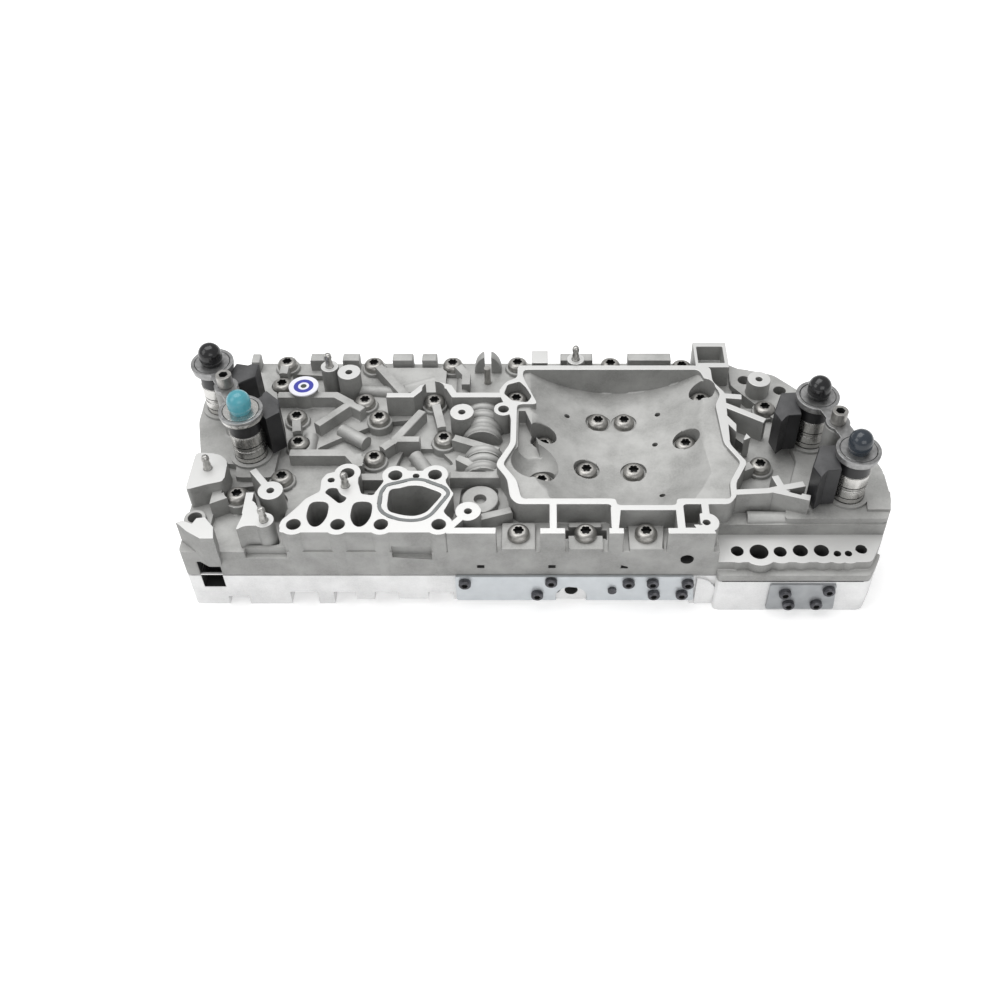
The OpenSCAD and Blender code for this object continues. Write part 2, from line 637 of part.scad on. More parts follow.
module front_cuts() {
    for (s = front_slot_shares) {
        translate([at([s, 0])[0] - front_slot_w / 2, -overrun, split_z + end_slot_rise / 2])
            cube([front_slot_w, overrun + end_slot_depth / 4, front_slot_h]);
    }
    front_bore(front_hole_share, row_z + front_slot_h, front_hole_d, -overrun, end_slot_depth);
    end_slot(split_z - overrun, split_z + end_slot_rise);
    for (s = front_pocket_shares) {
        translate([at([s[0], 0])[0], -overrun, floor_z - 0.35 * floor_drop])
            cube([(s[1] - s[0]) * casting_l, overrun + front_pocket_depth, 0.6 * floor_drop]);
    }
}

module upper_housing() {
    color("lightgray") in_frame() difference() {
        upper_solid();
        trough();
        ports();
        raised(deck_z, top_z + overrun) polygon(all_at(tower_inner_shares));
        raised(row_z, top_z + overrun) for (s = pocket_shares) polygon(all_at(s));
        raised(floor_z, top_z + overrun) polygon(all_at(shallow_pocket_shares));
        for (i = [0:len(solenoid_shares) - 1]) connector_room(solenoid_shares[i], connector_turns[i]);
        head_room();
        screw_holes(split_z - overrun, top_z + overrun, shank_hole_d);
        for (s = boss_shares) drilled(s, boss_hole_d, top_z - boss_hole_depth, top_z + overrun);
        drilled(ring_boss_share, 0.44 * boss_d, top_z - boss_hole_depth, top_z + overrun);
        drilled(corner_post_share, port_hole_d, row_z, deck_z + overrun);
        for (s = pin_shares) {
            drilled(s, 2 * (pin_shank_r + nozzle_fit), top_z - pin_rise, top_z + overrun);
        }
        for (s = row_hole_shares) drilled(s, row_hole_d * s[2], split_z - overrun, row_z + overrun);
        for (s = solenoid_shares) {
            drilled(s, nozzle_d + 2 * nozzle_fit, deck_z - nozzle_l - air, deck_z + overrun);
            drilled(s, can_d + 2 * air, deck_z, deck_z + collar_h + overrun);
        }
        drilled(drum_share, 0.5 * boss_d, floor_z, deck_z + overrun);
        for (s = back_hole_shares) drilled(s, port_hole_d, row_z, deck_z + overrun);
        for (s = [left_clamp_share, right_clamp_share]) drilled(s, shank_hole_d, deck_z - nozzle_l,
            clamp_z + overrun);
        for (s = ball_shares) drilled(s, ball_d + 2 * ball_air, split_z - overrun,
            split_z + ball_d + ball_air);
        drilled(stud_share, stud_d + 2 * (step_r + nozzle_fit), floor_z - stud_sunk,
            floor_z + overrun);
        front_cuts();
    }
}

// Separator plate
plate_inset = 0.4;
module separator_plate() {
    color("silver") in_frame() difference() {
        raised(lower_h, split_z) offset(delta = -plate_inset) lower_outline();
        screw_holes(lower_h - overrun, split_z + overrun, shank_hole_d);
        for (s = row_hole_shares) drilled(s, row_hole_d * s[2] * 0.6, lower_h - overrun,
            split_z + overrun);
        end_slot(lower_h - overrun, split_z + overrun);
    }
}

// Lower casting
module lower_outline() {
    body_outline();
    proud_end();
}

module skirt() {
    difference() {
        lower_outline();
        offset(delta = -skirt_w) lower_outline();
    }
}

module valve_blocks() {
    for (s = valve_block_spans_share) {
        translate(at([s[0], 0])) square([(s[1] - s[0]) * casting_l, valve_bore_depth + skirt_w]);
    }
}

// Round land beside the end of the long cover plate, as proud as the plate
module cover_lobe() {
    start = at([cover_x_shares[1], 0])[0] + air;
    intersection() {
        front_bore(cover_x_shares[1], 0.52 * lower_h, 2 * cover_lobe_r, -cover_t, overrun);
        translate([start, -cover_t, 0]) cube([cover_lobe_r, cover_t + overrun, lower_h]);
    }
}

module lower_housing() {
    color("gainsboro") in_frame() difference() {
        union() {
            raised(tray_z, lower_h) lower_outline();
            raised(0, tray_z + overrun) skirt();
            intersection() {
                raised(0, tray_z + overrun) lower_outline();
                for (s = lower_rib_shares) {
                    translate(at([s, 0])) cube([rib_w, casting_d, tray_z + overrun]);
                }
            }
            raised(cover_z, tray_z + overrun) valve_blocks();
            cover_lobe();
        }
        for (s = notch_spans_share) {
            translate([at([s[0], 0])[0], -overrun - proud, -overrun])
                cube([(s[1] - s[0]) * casting_l, overrun + proud + skirt_w, overrun + s[2] * lower_h]);
        }
        for (i = [0:len(valve_share) - 1]) {
            front_bore(valve_share[i], valve_z, valve_bore_d, valve_front[i] - overrun,
                valve_front[i] + valve_bore_depth);
        }
        front_bore(lower_hole_share, lower_hole_z, front_hole_d, -overrun, end_slot_depth);
        screw_holes(tray_z + overrun, lower_h + overrun, shank_d + 2 * nozzle_fit);
        end_slot(lower_h - end_slot_drop, lower_h + overrun);
        small_screw_holes(front_cover_screw_shares, cover_z, cover_h, 0);
        small_screw_holes(side_cover_screw_shares, side_cover_z, side_cover_h, -proud);
    }
}

module small_screw_holes(shares, z0, h, y) {
    for (s = shares) {
        front_bore(s[0], z0 + s[1] * h - small_head_d / 4, small_shank_d + 2 * nozzle_fit,
            y - overrun, y + small_shank_l + air);
    }
}

// Cover plates and their screws
module front_plate(x_shares, z, h, y) {
    x0 = at([x_shares[0], 0])[0];
    w = (x_shares[1] - x_shares[0]) * casting_l;
    translate([x0, y, z]) rotate([90, 0, 0]) linear_extrude(cover_t)
        polygon(softened([[0, 0], [w, 0], [w - cover_slope / 2, h - cover_slope],
            [w - cover_slope / 2, h], [0, h]], cover_slope / 2));
}

module front_cover_plate() {
    color("lightsteelblue") in_frame() difference() {
        front_plate(cover_x_shares, cover_z, cover_h, 0);
        front_bore(lower_hole_share, cover_z + cover_slope, 2 * cover_notch_r, -cover_t - overrun,
            overrun);
        for (s = concat(front_cover_screw_shares, [plug_share])) {
            front_bore(s[0], cover_z + s[1] * cover_h - small_head_d / 4,
                small_shank_d + 2 * nozzle_fit, -cover_t - overrun, overrun);
        }
    }
}

module side_cover_plate() {
    color("lightsteelblue") in_frame() difference() {
        front_plate(side_cover_x_shares, side_cover_z, side_cover_h, -proud);
        for (s = side_cover_screw_shares) {
            front_bore(s[0], side_cover_z + s[1] * side_cover_h - small_head_d / 4,
                small_shank_d + 2 * nozzle_fit,
                -proud - cover_t - overrun, overrun - proud);
        }
    }
}

module small_screw(x_share, z, y) {
    h = small_head_h();
    translate([at([x_share, 0])[0], y, z]) rotate([90, 0, 0]) difference() {
        union() {
            cylinder(d = small_head_d, h = 0.8 * h);
            translate([0, 0, 0.8 * h]) cylinder(d1 = small_head_d, d2 = 0.8 * small_head_d, h =
                0.2 * h);
            translate([0, 0, -small_shank_l]) cylinder(d = small_shank_d, h = small_shank_l + h / 2);
        }
        translate([0, 0, 0.5 * h]) cylinder(d = 0.5 * small_head_d, h = h, $fn = 6);
    }
}

module front_cover_screws() {
    color("dimgray") in_frame() for (s = front_cover_screw_shares) {
        small_screw(s[0], cover_z + s[1] * cover_h - small_head_d / 4, -cover_t);
    }
}

module side_cover_screws() {
    color("dimgray") in_frame() for (s = side_cover_screw_shares) {
        small_screw(s[0], side_cover_z + s[1] * side_cover_h - small_head_d / 4, -proud - cover_t);
    }
}

module front_cover_plug() {
    color("dimgray") in_frame()
        translate([at(plug_share)[0], -cover_t, cover_z + plug_share[1] * cover_h - small_head_d /
            4]) rotate([90, 0, 0]) {
            cylinder(d = plug_d, h = cover_t);
            translate([0, 0, -cover_t]) cylinder(d = small_shank_d, h = cover_t);
        }
}

// Pan-head screw standing on its seat, with a six-lobed drive
lobe_d = 0.17 * head_d;
drive_d = 0.46 * head_d;
drive_depth = 0.6 * head_h;
module pan_screw(share, seat_z) {
    translate(concat(at(share), seat_z)) {
        difference() {
            rotate_extrude() polygon([
                [0, 0], [head_d / 2, 0], [head_d / 2, 0.45 * head_h], [0.46 * head_d, 0.72 * head_h],
                [0.37 * head_d, 0.92 * head_h], [0.28 * head_d, head_h], [0, head_h]
            ]);
            translate([0, 0, head_h - drive_depth]) {
                cylinder(d = drive_d - lobe_d, h = head_h);
                for (a = [0:60:300]) rotate(a) translate([(drive_d - lobe_d) / 2, 0, 0])
                    cylinder(d = lobe_d, h = head_h);
            }
        }
        translate([0, 0, tray_z + 2 * overrun - seat_z]) cylinder(d = shank_d, h =
            seat_z - tray_z - 2 * overrun);
    }
}

module rear_row_screws() {
    color("dimgray") in_frame() for (s = rear_row_shares) pan_screw(s, pad_z);
}
module left_bank_screws() {
    color("dimgray") in_frame() for (s = left_bank_shares) pan_screw(s, pad_z);
}
module right_bank_screws() {
    color("dimgray") in_frame() for (s = right_bank_shares) pan_screw(s, pad_z);
}
module front_edge_screws() {
    color("dimgray") in_frame() for (s = front_edge_shares) pan_screw(s, pad_z);
}
module tub_screws() {
    color("dimgray") in_frame() {
        for (s = tub_screw_shares) pan_screw(s, tub_seat(s));
        pan_screw(rim_screw_share, rim_seat_z);
    }
}

// Solenoids: a can with ring grooves, its washer and the nozzle in the casting
groove_step = 0.5;
module solenoid(share) {
    r = can_d / 2;
    translate(concat(at(share), deck_z)) rotate_extrude() polygon([
        [0, -nozzle_l], [nozzle_d / 2, -nozzle_l], [nozzle_d / 2, 0], [r - groove_step, 0],
            [r - groove_step, 0.06 * can_h],
        [r, 0.06 * can_h], [r, 0.3 * can_h], [r - groove_step, 0.3 * can_h],
            [r - groove_step, 0.34 * can_h],
        [r, 0.34 * can_h], [r, 0.62 * can_h], [r - groove_step, 0.62 * can_h],
            [r - groove_step, 0.9 * can_h],
        [washer_d / 2, 0.93 * can_h], [washer_d / 2, can_h], [0.42 * washer_d, can_h],
        [0.42 * washer_d, can_h + washer_t], [0, can_h + washer_t]
    ]);
}

cap_foot = washer_z + washer_t;
module solenoid_cap(share) {
    r = cap_d / 2;
    translate(concat(at(share), cap_foot)) rotate_extrude() polygon(concat(
        [[0, 0], [0.9 * r, 0], [0.9 * r, 0.12 * cap_h], [r, 0.24 * cap_h], [r, cap_h - r]],
        [for (a = [15:15:75]) [r * cos(a), cap_h + r * (sin(a) - 1)]],
        [[0, cap_h]]
    ));
}

// Connector block beside a can: a six-sided body with a sloped outer top edge, open underneath for
// its plug
connector_l = 14.7;
connector_w = 23;
connector_h = 0.82 * can_h;
connector_lift = 0.06 * can_h;
connector_wall = 1.6;
connector_shares = [[0, -0.4], [0.63, -0.37], [1, 0.19], [0.82, 0.63], [0.51, 0.45], [0, 0.42]];
connector_slope = 32;
function connector_outline() = [for (s = connector_shares) [can_d / 2 + air + s[0] * connector_l,
    s[1] * connector_w]];
// The same outline wider by a gap all round
function widened(p, gap) = [for (i = [0:len(p) - 1]) p[i] - ring_side(p, i) * gap];
module connector_room(share, turn) {
    translate(concat(at(share), deck_z + connector_lift)) rotate(turn)
        linear_extrude(connector_h + overrun) polygon(widened(connector_outline(), air));
}
module connector(share, turn) {
    translate(concat(at(share), deck_z + connector_lift)) rotate(turn) difference() {
        linear_extrude(connector_h) polygon(connector_outline());
        translate([can_d / 2 + air + connector_wall, connector_wall - 0.37 * connector_w, -overrun])
            cube([0.4 * connector_l, 0.6 * connector_w, overrun + 0.4 * connector_h]);
        translate([can_d / 2 + 0.7 * connector_l, -connector_w, connector_h]) rotate([0,
            connector_slope, 0])
            cube([connector_l, 2 * connector_w, connector_h]);
    }
}
front_left_turn = 36;
rear_left_turn = -18;
right_turn = 180;
connector_turns = [front_left_turn, rear_left_turn, right_turn, right_turn];

// Hold-down brackets: a plate over two cans, screwed down between them
clamp_z = washer_z;
clamp_ear_d = 1.04 * washer_d;
clamp_foot_d = 1.1 * head_d;
module solenoid_bracket(a_share, b_share, foot_share) {
    difference() {
        union() {
            for (s = [a_share, b_share]) post(s, clamp_ear_d, washer_z, washer_z + bracket_t);
            post(foot_share, clamp_foot_d, washer_z, washer_z + bracket_t);
            raised(washer_z, washer_z + bracket_t) wall([a_share, foot_share, b_share],
                0.7 * clamp_foot_d);
        }
        for (s = [a_share, b_share]) drilled(s, 0.84 * washer_d + 2 * air, washer_z - overrun,
            washer_z + bracket_t + overrun);
        drilled(foot_share, shank_hole_d, washer_z - overrun, washer_z + bracket_t + overrun);
    }
}

clamp_head_d = 9;
clamp_head_h = 8;
module bracket_screw(share) {
    z = washer_z + bracket_t;
    translate(concat(at(share), z)) difference() {
        union() {
            cylinder(d = clamp_head_d, h = clamp_head_h);
            translate([0, 0, air + deck_z - nozzle_l - z]) cylinder(d = shank_d, h =
                z + nozzle_l - deck_z);
        }
        translate([0, 0, 0.6 * clamp_head_h]) cylinder(d = 0.55 * clamp_head_d, h = clamp_head_h,
            $fn = 6);
    }
}

// Pins, stud, seal, disc and balls
pin_neck = 0.42 * pin_d;
step_r = 0.25;
pin_shank_r = pin_d / 2 + step_r;
module locating_pins() {
    color("gray") in_frame() for (s = pin_shares) {
        translate(concat(at(s), top_z)) rotate_extrude() polygon([
            [0, -0.9 * pin_rise], [pin_shank_r, -0.9 * pin_rise], [pin_shank_r, 0.06 * pin_rise],
            [pin_d / 2, 0.06 * pin_rise], [pin_d / 2, 0.3 * pin_rise], [pin_neck, 0.42 * pin_rise],
            [pin_neck, 0.56 * pin_rise], [pin_d / 2, 0.66 * pin_rise], [pin_d / 2, 0.84 * pin_rise],
            [0.34 * pin_d, 0.96 * pin_rise], [0.16 * pin_d, pin_rise], [0, pin_rise]
        ]);
    }
}

stud_share = [0.427, 0.87];
stud_d = 4;
stud_rise = 12;
stud_sunk = 6;
stud_foot = 0.6;
module threaded_stud() {
    color("dimgray") in_frame() {
        post(stud_share, stud_d, floor_z, floor_z + stud_rise);
        post(stud_share, stud_d + 2 * step_r, floor_z - stud_sunk, floor_z + stud_foot);
    }
}

seal_w = 2;
seal_h = 1.8;
module port_seal() {
    color("darkslategray") in_frame() raised(top_z - groove_depth, top_z - groove_depth + seal_h)
        seal_ring(seal_w);
}

disc_d = 18.2;
disc_t = 0.8;
disc_z = top_z - 4;
module marker_disc() {
    color("white") in_frame() post(disc_share, disc_d, disc_z, disc_z + disc_t);
}

module check_balls() {
    color("silver") in_frame() for (s = ball_shares) {
        translate(concat(at(s), split_z + (ball_d + ball_air) / 2)) sphere(d = ball_d);
    }
}

// Spool with three lands, its front end carrying the spring guide
module spool_valve(i) {
    step = (spool_l - 3 * land_l) / 2;
    translate([at([valve_share[i], 0])[0], valve_front[i] + spool_front_y, valve_z]) rotate([-90,
        0, 0]) {
        cylinder(d = spool_waist_d, h = spool_l);
        for (k = [0:2]) translate([0, 0, k * (land_l + step)]) cylinder(d = spool_d, h = land_l);
        translate([0, 0, -guide_l]) cylinder(d = guide_d, h = guide_l);
    }
}

// Coil spring between the spool and the cover plate, as one swept tube
ring_sides = 6;
ring_count = 60;
function coil_point(i, l) = [
    (spring_d - spring_wire_d) / 2 * cos(360 * spring_turns * i / ring_count),
    (spring_d - spring_wire_d) / 2 * sin(360 * spring_turns * i / ring_count),
    l * i / ring_count
];
function coil_ring(i, l) = let (c = coil_point(i, l), a = 360 * spring_turns * i / ring_count) [
    for (k = [0:ring_sides - 1]) c + spring_wire_d / 2
        * (cos(360 * k / ring_sides) * [cos(a), sin(a), 0] + sin(360 * k / ring_sides) * [0, 0, 1])
];
module coil_spring(l) {
    points = [for (i = [0:ring_count]) for (p = coil_ring(i, l)) p];
    sides = [for (i = [0:ring_count - 1], k = [0:ring_sides - 1])
        let (a = i * ring_sides + k, b = i * ring_sides + (k + 1) % ring_sides) [a, b,
            b + ring_sides, a + ring_sides]];
    first = [[for (k = [ring_sides - 1:-1:0]) k]];
    last = [[for (k = [0:ring_sides - 1]) ring_count * ring_sides + k]];
    polyhedron(points, concat(sides, first, last));
}
module valve_spring(i) {
    l = spool_front_y - spring_wire_d - 2 * air;
    translate([at([valve_share[i], 0])[0], valve_front[i] + air + spring_wire_d / 2, valve_z])
        rotate([-90, 0, 0]) coil_spring(l);
}

upper_housing();
separator_plate();
lower_housing();
front_cover_plate();
side_cover_plate();
front_cover_screws();
side_cover_screws();
front_cover_plug();
rear_row_screws();
left_bank_screws();
tub_screws();
front_edge_screws();
right_bank_screws();
color("silver") in_frame()  // solenoid_front_left
    solenoid(front_left_share);
color("silver") in_frame() solenoid(rear_left_share);  // solenoid_rear_left
color("silver") in_frame()  // solenoid_front_right
    solenoid(front_right_share);
color("silver") in_frame()  // solenoid_rear_right
    solenoid(rear_right_share);
color("cadetblue") in_frame()  // solenoid_cap_front_left
    solenoid_cap(front_left_share);
color("black") in_frame()  // solenoid_cap_rear_left
    solenoid_cap(rear_left_share);
color("darkslategray") in_frame()  // solenoid_cap_front_right
    solenoid_cap(front_right_share);
color("black") in_frame()  // solenoid_cap_rear_right
    solenoid_cap(rear_right_share);
color("black") in_frame()  // connector_front_left
    connector(front_left_share, front_left_turn);
color("black") in_frame()  // connector_rear_left
    connector(rear_left_share, rear_left_turn);
color("black") in_frame()  // connector_front_right
    connector(front_right_share, right_turn);
color("black") in_frame()  // connector_rear_right
    connector(rear_right_share, right_turn);
color("gray") in_frame()  // solenoid_bracket_left
    solenoid_bracket(front_left_share, rear_left_share, left_clamp_share);
color("gray") in_frame()  // solenoid_bracket_right
    solenoid_bracket(front_right_share, rear_right_share, right_clamp_share);
color("dimgray") in_frame() {  // bracket_screws
    bracket_screw(left_clamp_share);
    bracket_screw(right_clamp_share);
}
locating_pins();
threaded_stud();
port_seal();
marker_disc();
check_balls();
color("silver") in_frame() spool_valve(0);  // spool_valve_1
color("silver") in_frame() spool_valve(1);  // spool_valve_2
color("silver") in_frame() spool_valve(2);  // spool_valve_3
color("silver") in_frame() spool_valve(3);  // spool_valve_4
color("silver") in_frame() spool_valve(4);  // spool_valve_5
color("gray") in_frame() valve_spring(0);  // valve_spring_1
color("gray") in_frame() valve_spring(1);  // valve_spring_2
color("gray") in_frame() valve_spring(2);  // valve_spring_3
color("gray") in_frame() valve_spring(3);  // valve_spring_4
color("gray") in_frame() valve_spring(4);  // valve_spring_5
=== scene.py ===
import math

import bpy
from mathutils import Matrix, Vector
from mathutils.bvhtree import BVHTree
from mathutils.kdtree import KDTree


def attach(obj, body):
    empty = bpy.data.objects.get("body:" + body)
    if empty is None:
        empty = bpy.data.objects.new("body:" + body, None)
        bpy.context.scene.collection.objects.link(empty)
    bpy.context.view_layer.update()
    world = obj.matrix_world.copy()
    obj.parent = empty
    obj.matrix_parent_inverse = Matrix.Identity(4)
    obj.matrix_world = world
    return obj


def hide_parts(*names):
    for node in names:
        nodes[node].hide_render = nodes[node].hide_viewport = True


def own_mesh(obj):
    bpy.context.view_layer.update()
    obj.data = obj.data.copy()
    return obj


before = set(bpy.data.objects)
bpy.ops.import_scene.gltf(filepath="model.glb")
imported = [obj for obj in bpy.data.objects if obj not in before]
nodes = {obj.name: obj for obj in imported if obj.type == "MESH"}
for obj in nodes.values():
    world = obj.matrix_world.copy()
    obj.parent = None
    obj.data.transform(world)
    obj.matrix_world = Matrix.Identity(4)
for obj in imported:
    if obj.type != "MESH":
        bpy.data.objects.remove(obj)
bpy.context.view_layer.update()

MM = 0.001

# Sizes shared with the model, in millimetres
LENGTH, DEPTH, MIDDLE_Y = 408.0, 162.0, 76.495
TOP_Z, SPLIT_Z, LOWER_H = 61.5, 26.5, 25.5
FLOOR_Z, DECK_Z, ROW_Z = 46.0, 50.0, 37.5
CAN_H, DISC_D, SPOOL_TRAVEL = 34.0, 18.2, 5.0
SCREW_HEAD_D, SCREW_HEAD_H, SMALL_HEAD_D, CLAMP_HEAD_D, CLAMP_HEAD_H = 12.5, 4.5, 7.0, 9.0, 8.0

# Places in the castings, as shares of their length and depth
DISC_SHARE, END_SLOT, HUMP_X = (0.1515, 0.764), (0.041, 0.071), (0.424, 0.428)
STUD_HUMP, FRONT_SLOTS = (0.427, 0.945), (0.428, 0.5255, 0.625)
ROW_HOLES = (  # each with the share of the full radius that it has
    (0.78, 0.05, 0.68), (0.81, 0.047, 1), (0.839, 0.047, 0.68), (0.867, 0.052, 0.8),
    (0.896, 0.052, 0.8), (0.917, 0.038, 0.4), (0.932, 0.038, 0.4), (0.951, 0.058, 0.62))
FRONT_HOLES = ((0.709, 39.7), (0.5525, 12.495))  # share of the length, and height in millimetres

# Holes and slots whose insides get painted shade, in millimetres
ROW_HOLE_R, FRONT_HOLE_R = 5.2, 3.7
FRONT_SLOT_W, FRONT_SLOT_Z = 3.6, (32.0, 34.2)
FRONT_SLOT_DEPTH, FRONT_DEPTH = 4, 22
END_SLOT_DOWN, END_SLOT_UP, END_SLOT_DEPTH = 10.2, 11.2, 20

# Forms that this script adds to the castings, in millimetres
HUMPS = ((7.75, 41.4, 5), (-22.2, -2.5, 3))  # where the rings start and end, and their number
HUMP_R, COLLAR_REACH, COLLAR_T = 11.0, 1.1, 2.7
STUD_HUMP_W, STUD_HUMP_H, STUD_HUMP_T, STUD_SLOT_W = 17.0, 13.5, 6.5, 4.5
STRIP_W, STRIP_Y, STRIP_OVERLAP = 1.4, 1.2, 0.4
SINK = 0.3  # how far an added form goes into the floor under it

# Radius and depth of the drive in each kind of screw head, where shade is painted, in millimetres
PAN_DRIVE = (0.25 * SCREW_HEAD_D, 0.65 * SCREW_HEAD_H)
SMALL_DRIVE = (0.29 * SMALL_HEAD_D, 0.25 * SMALL_HEAD_D)
CLAMP_DRIVE = (0.31 * CLAMP_HEAD_D, 0.45 * CLAMP_HEAD_H)

# The coil's dark band and the plate on a can, as shares of its height
COIL_FROM, COIL_TO, CAN_PLATE_FROM = 0.63, 0.895, 0.9

# Rules for the softened edges and the shading
SHARP_ANGLE = 35  # degrees between two faces, from which their edge is softened
BEVEL_TRIES = 4
STRAY, SPARE_REACH, PULL_REACH = 0.75, 2.5, 1.5  # distances, as shares of the bevel's width
FOLDED, TINY_AREA = -0.05, 1e-11
MACHINED_SLACK, SHORT_EDGE, SMALL_SHARE = 0.02, 0.85, 0.4
SAME_FACING, FACES_UP = 0.99995, 0.7
SLIVER = 0.02  # a triangle lower than this, in millimetres, takes its shading from its neighbours
MERGE_GAP = 0.00001

# Camera, in metres and degrees, and light
CAMERA_PLACE, CAMERA_TILT, CAMERA_LENS, CAMERA_SHIFT = (0.0065, -0.48718, 0.52846), 43, 41.4, -0.045
FLOOR_SIZE, FLOOR_GLOW, WORLD_LIGHT = 60, 0.3, 0.56
LAMPS = (  # name, place, width, height and power
    ("top_softbox", (-0.25, 0.35, 1.5), 1.5, 1.1, 15),
    ("left_softbox", (-1.3, -0.5, 1.0), 0.9, 0.9, 5),
    ("front_softbox", (0.5, -1.5, 0.9), 1.2, 0.7, 5))


def at(share, z=0.0):
    """A place given in shares of the castings, as a point in millimetres."""
    return Vector(((share[0] - 0.5) * LENGTH, share[1] * DEPTH - MIDDLE_Y, z))


# Camera, light and floor
def set_stage():
    bpy.ops.object.camera_add(location=CAMERA_PLACE, rotation=(math.radians(CAMERA_TILT), 0, 0))
    camera = bpy.context.object
    camera.name = "camera"
    camera.data.sensor_width = 36
    camera.data.lens = CAMERA_LENS
    camera.data.shift_x = CAMERA_SHIFT
    camera.data.clip_start = 0.01
    bpy.context.scene.camera = camera

    bpy.ops.mesh.primitive_plane_add(size=FLOOR_SIZE, location=(0, 0, 0))
    floor = bpy.context.object
    floor.name = "floor"
    floor.data.materials.append(plain("floor_white", (0.9, 0.9, 0.9), 0.0, 0.9,
                                      Emission_Color=(1, 1, 1, 1), Emission_Strength=FLOOR_GLOW))

    world = bpy.data.worlds.new("studio")
    world.use_nodes = True
    background = world.node_tree.nodes["Background"]
    background.inputs["Color"].default_value = (1, 1, 1, 1)
    background.inputs["Strength"].default_value = WORLD_LIGHT
    bpy.context.scene.world = world

    for setting in LAMPS:
        lamp(*setting)
    bpy.context.scene.view_settings.view_transform = "Standard"


def lamp(name, place, width, height, power):
    """A soft box that points at the middle of the part."""
    bpy.ops.object.light_add(type="AREA", location=place)
    light = bpy.context.object
    light.name = name
    light.data.shape = "RECTANGLE"
    light.data.size, light.data.size_y = width, height
    light.data.energy = power
    light.rotation_euler = (Vector((0, 0, 0.04)) - Vector(place)).to_track_quat("-Z", "Y").to_euler()


# Materials
def plain(name, colour, metallic, roughness, **more):
    """A material of one colour, which the other kinds start from."""
    made = bpy.data.materials.new(name)
    made.use_nodes = True
    shader = made.node_tree.nodes["Principled BSDF"]
    shader.inputs["Base Color"].default_value = (*colour, 1)
    shader.inputs["Metallic"].default_value = metallic
    shader.inputs["Roughness"].default_value = roughness
    for key, value in more.items():
        shader.inputs[key.replace("_", " ")].default_value = value
    return made


def new_group(name, ins, outs):
    """An empty node group with the stated number sockets."""
    group = bpy.data.node_groups.new(name, "ShaderNodeTree")
    for title, value in ins:
        socket = group.interface.new_socket(title, in_out="INPUT", socket_type="NodeSocketFloat")
        socket.default_value = value
    for title in outs:
        group.interface.new_socket(title, in_out="OUTPUT", socket_type="NodeSocketFloat")
    return group, group.nodes.new("NodeGroupInput"), group.nodes.new("NodeGroupOutput")


def math_node(tree, operation, a, b=None):
    node = tree.nodes.new("ShaderNodeMath")
    node.operation = operation
    for socket, value in zip(node.inputs, (a, b)):
        if value is None:
            continue
        if isinstance(value, (int, float)):
            socket.default_value = value
        else:
            tree.links.new(value, socket)
    return node.outputs[0]


def cast_skin_group():
    """Speckle, blotches and height of a cast skin, from object coordinates."""
    group, given, out = new_group("cast_skin", [("Grain", 900.0), ("Blotch", 40.0)],
                                  ["Speckle", "Patches", "Height"])
    place = group.nodes.new("ShaderNodeTexCoord").outputs["Object"]
    fine = group.nodes.new("ShaderNodeTexNoise")
    fine.inputs["Detail"].default_value = 3
    wide = group.nodes.new("ShaderNodeTexNoise")
    wide.inputs["Detail"].default_value = 4
    wide.inputs["Roughness"].default_value = 0.6
    for node, key in ((fine, "Grain"), (wide, "Blotch")):
        group.links.new(place, node.inputs["Vector"])
        group.links.new(given.outputs[key], node.inputs["Scale"])
    group.links.new(fine.outputs["Fac"], out.inputs["Speckle"])
    group.links.new(wide.outputs["Fac"], out.inputs["Patches"])
    waves = math_node(group, "MULTIPLY", wide.outputs["Fac"], 0.6)
    group.links.new(math_node(group, "ADD", fine.outputs["Fac"], waves), out.inputs["Height"])
    return group


def level_face_group():
    """One where the surface faces up at a stated height, else zero."""
    group, given, out = new_group("level_face", [("Level", 0.06), ("Band", 0.0004)], ["Mask"])
    place = group.nodes.new("ShaderNodeTexCoord")
    point = group.nodes.new("ShaderNodeSeparateXYZ")
    group.links.new(place.outputs["Object"], point.inputs[0])
    facing = group.nodes.new("ShaderNodeSeparateXYZ")
    group.links.new(place.outputs["Normal"], facing.inputs[0])
    above = math_node(group, "SUBTRACT", point.outputs["Z"], given.outputs["Level"])
    near = math_node(group, "LESS_THAN", math_node(group, "ABSOLUTE", above), given.outputs["Band"])
    up = math_node(group, "GREATER_THAN", facing.outputs["Z"], FACES_UP)
    group.links.new(math_node(group, "MULTIPLY", near, up), out.inputs["Mask"])
    return group


def grouped(tree, group, **values):
    node = tree.nodes.new("ShaderNodeGroup")
    node.node_tree = group
    for key, value in values.items():
        node.inputs[key].default_value = value
    return node


def mixed(tree, factor, a, b):
    """Colour a where the factor is zero and colour b where it is one."""
    node = tree.nodes.new("ShaderNodeMix")
    node.data_type = "RGBA"
    tree.links.new(factor, node.inputs[0])
    for socket, value in ((node.inputs[6], a), (node.inputs[7], b)):
        if isinstance(value, tuple):
            socket.default_value = (*value, 1)
        else:
            tree.links.new(value, socket)
    return node.outputs[2]


def tinted(tree, colour, shade):
    """The colour, darkened to a share of itself."""
    node = tree.nodes.new("ShaderNodeMix")
    node.data_type = "RGBA"
    node.blend_type = "MULTIPLY"
    node.inputs[0].default_value = 1.0
    tree.links.new(colour, node.inputs[6])
    node.inputs[7].default_value = (shade, shade, shade, 1)
    return node.outputs[2]


def ramp(tree, value, low, high):
    """Zero up to the low value, and one from the high value on."""
    node = tree.nodes.new("ShaderNodeMapRange")
    node.inputs["From Min"].default_value = low
    node.inputs["From Max"].default_value = high
    tree.links.new(value, node.inputs["Value"])
    return node.outputs["Result"]


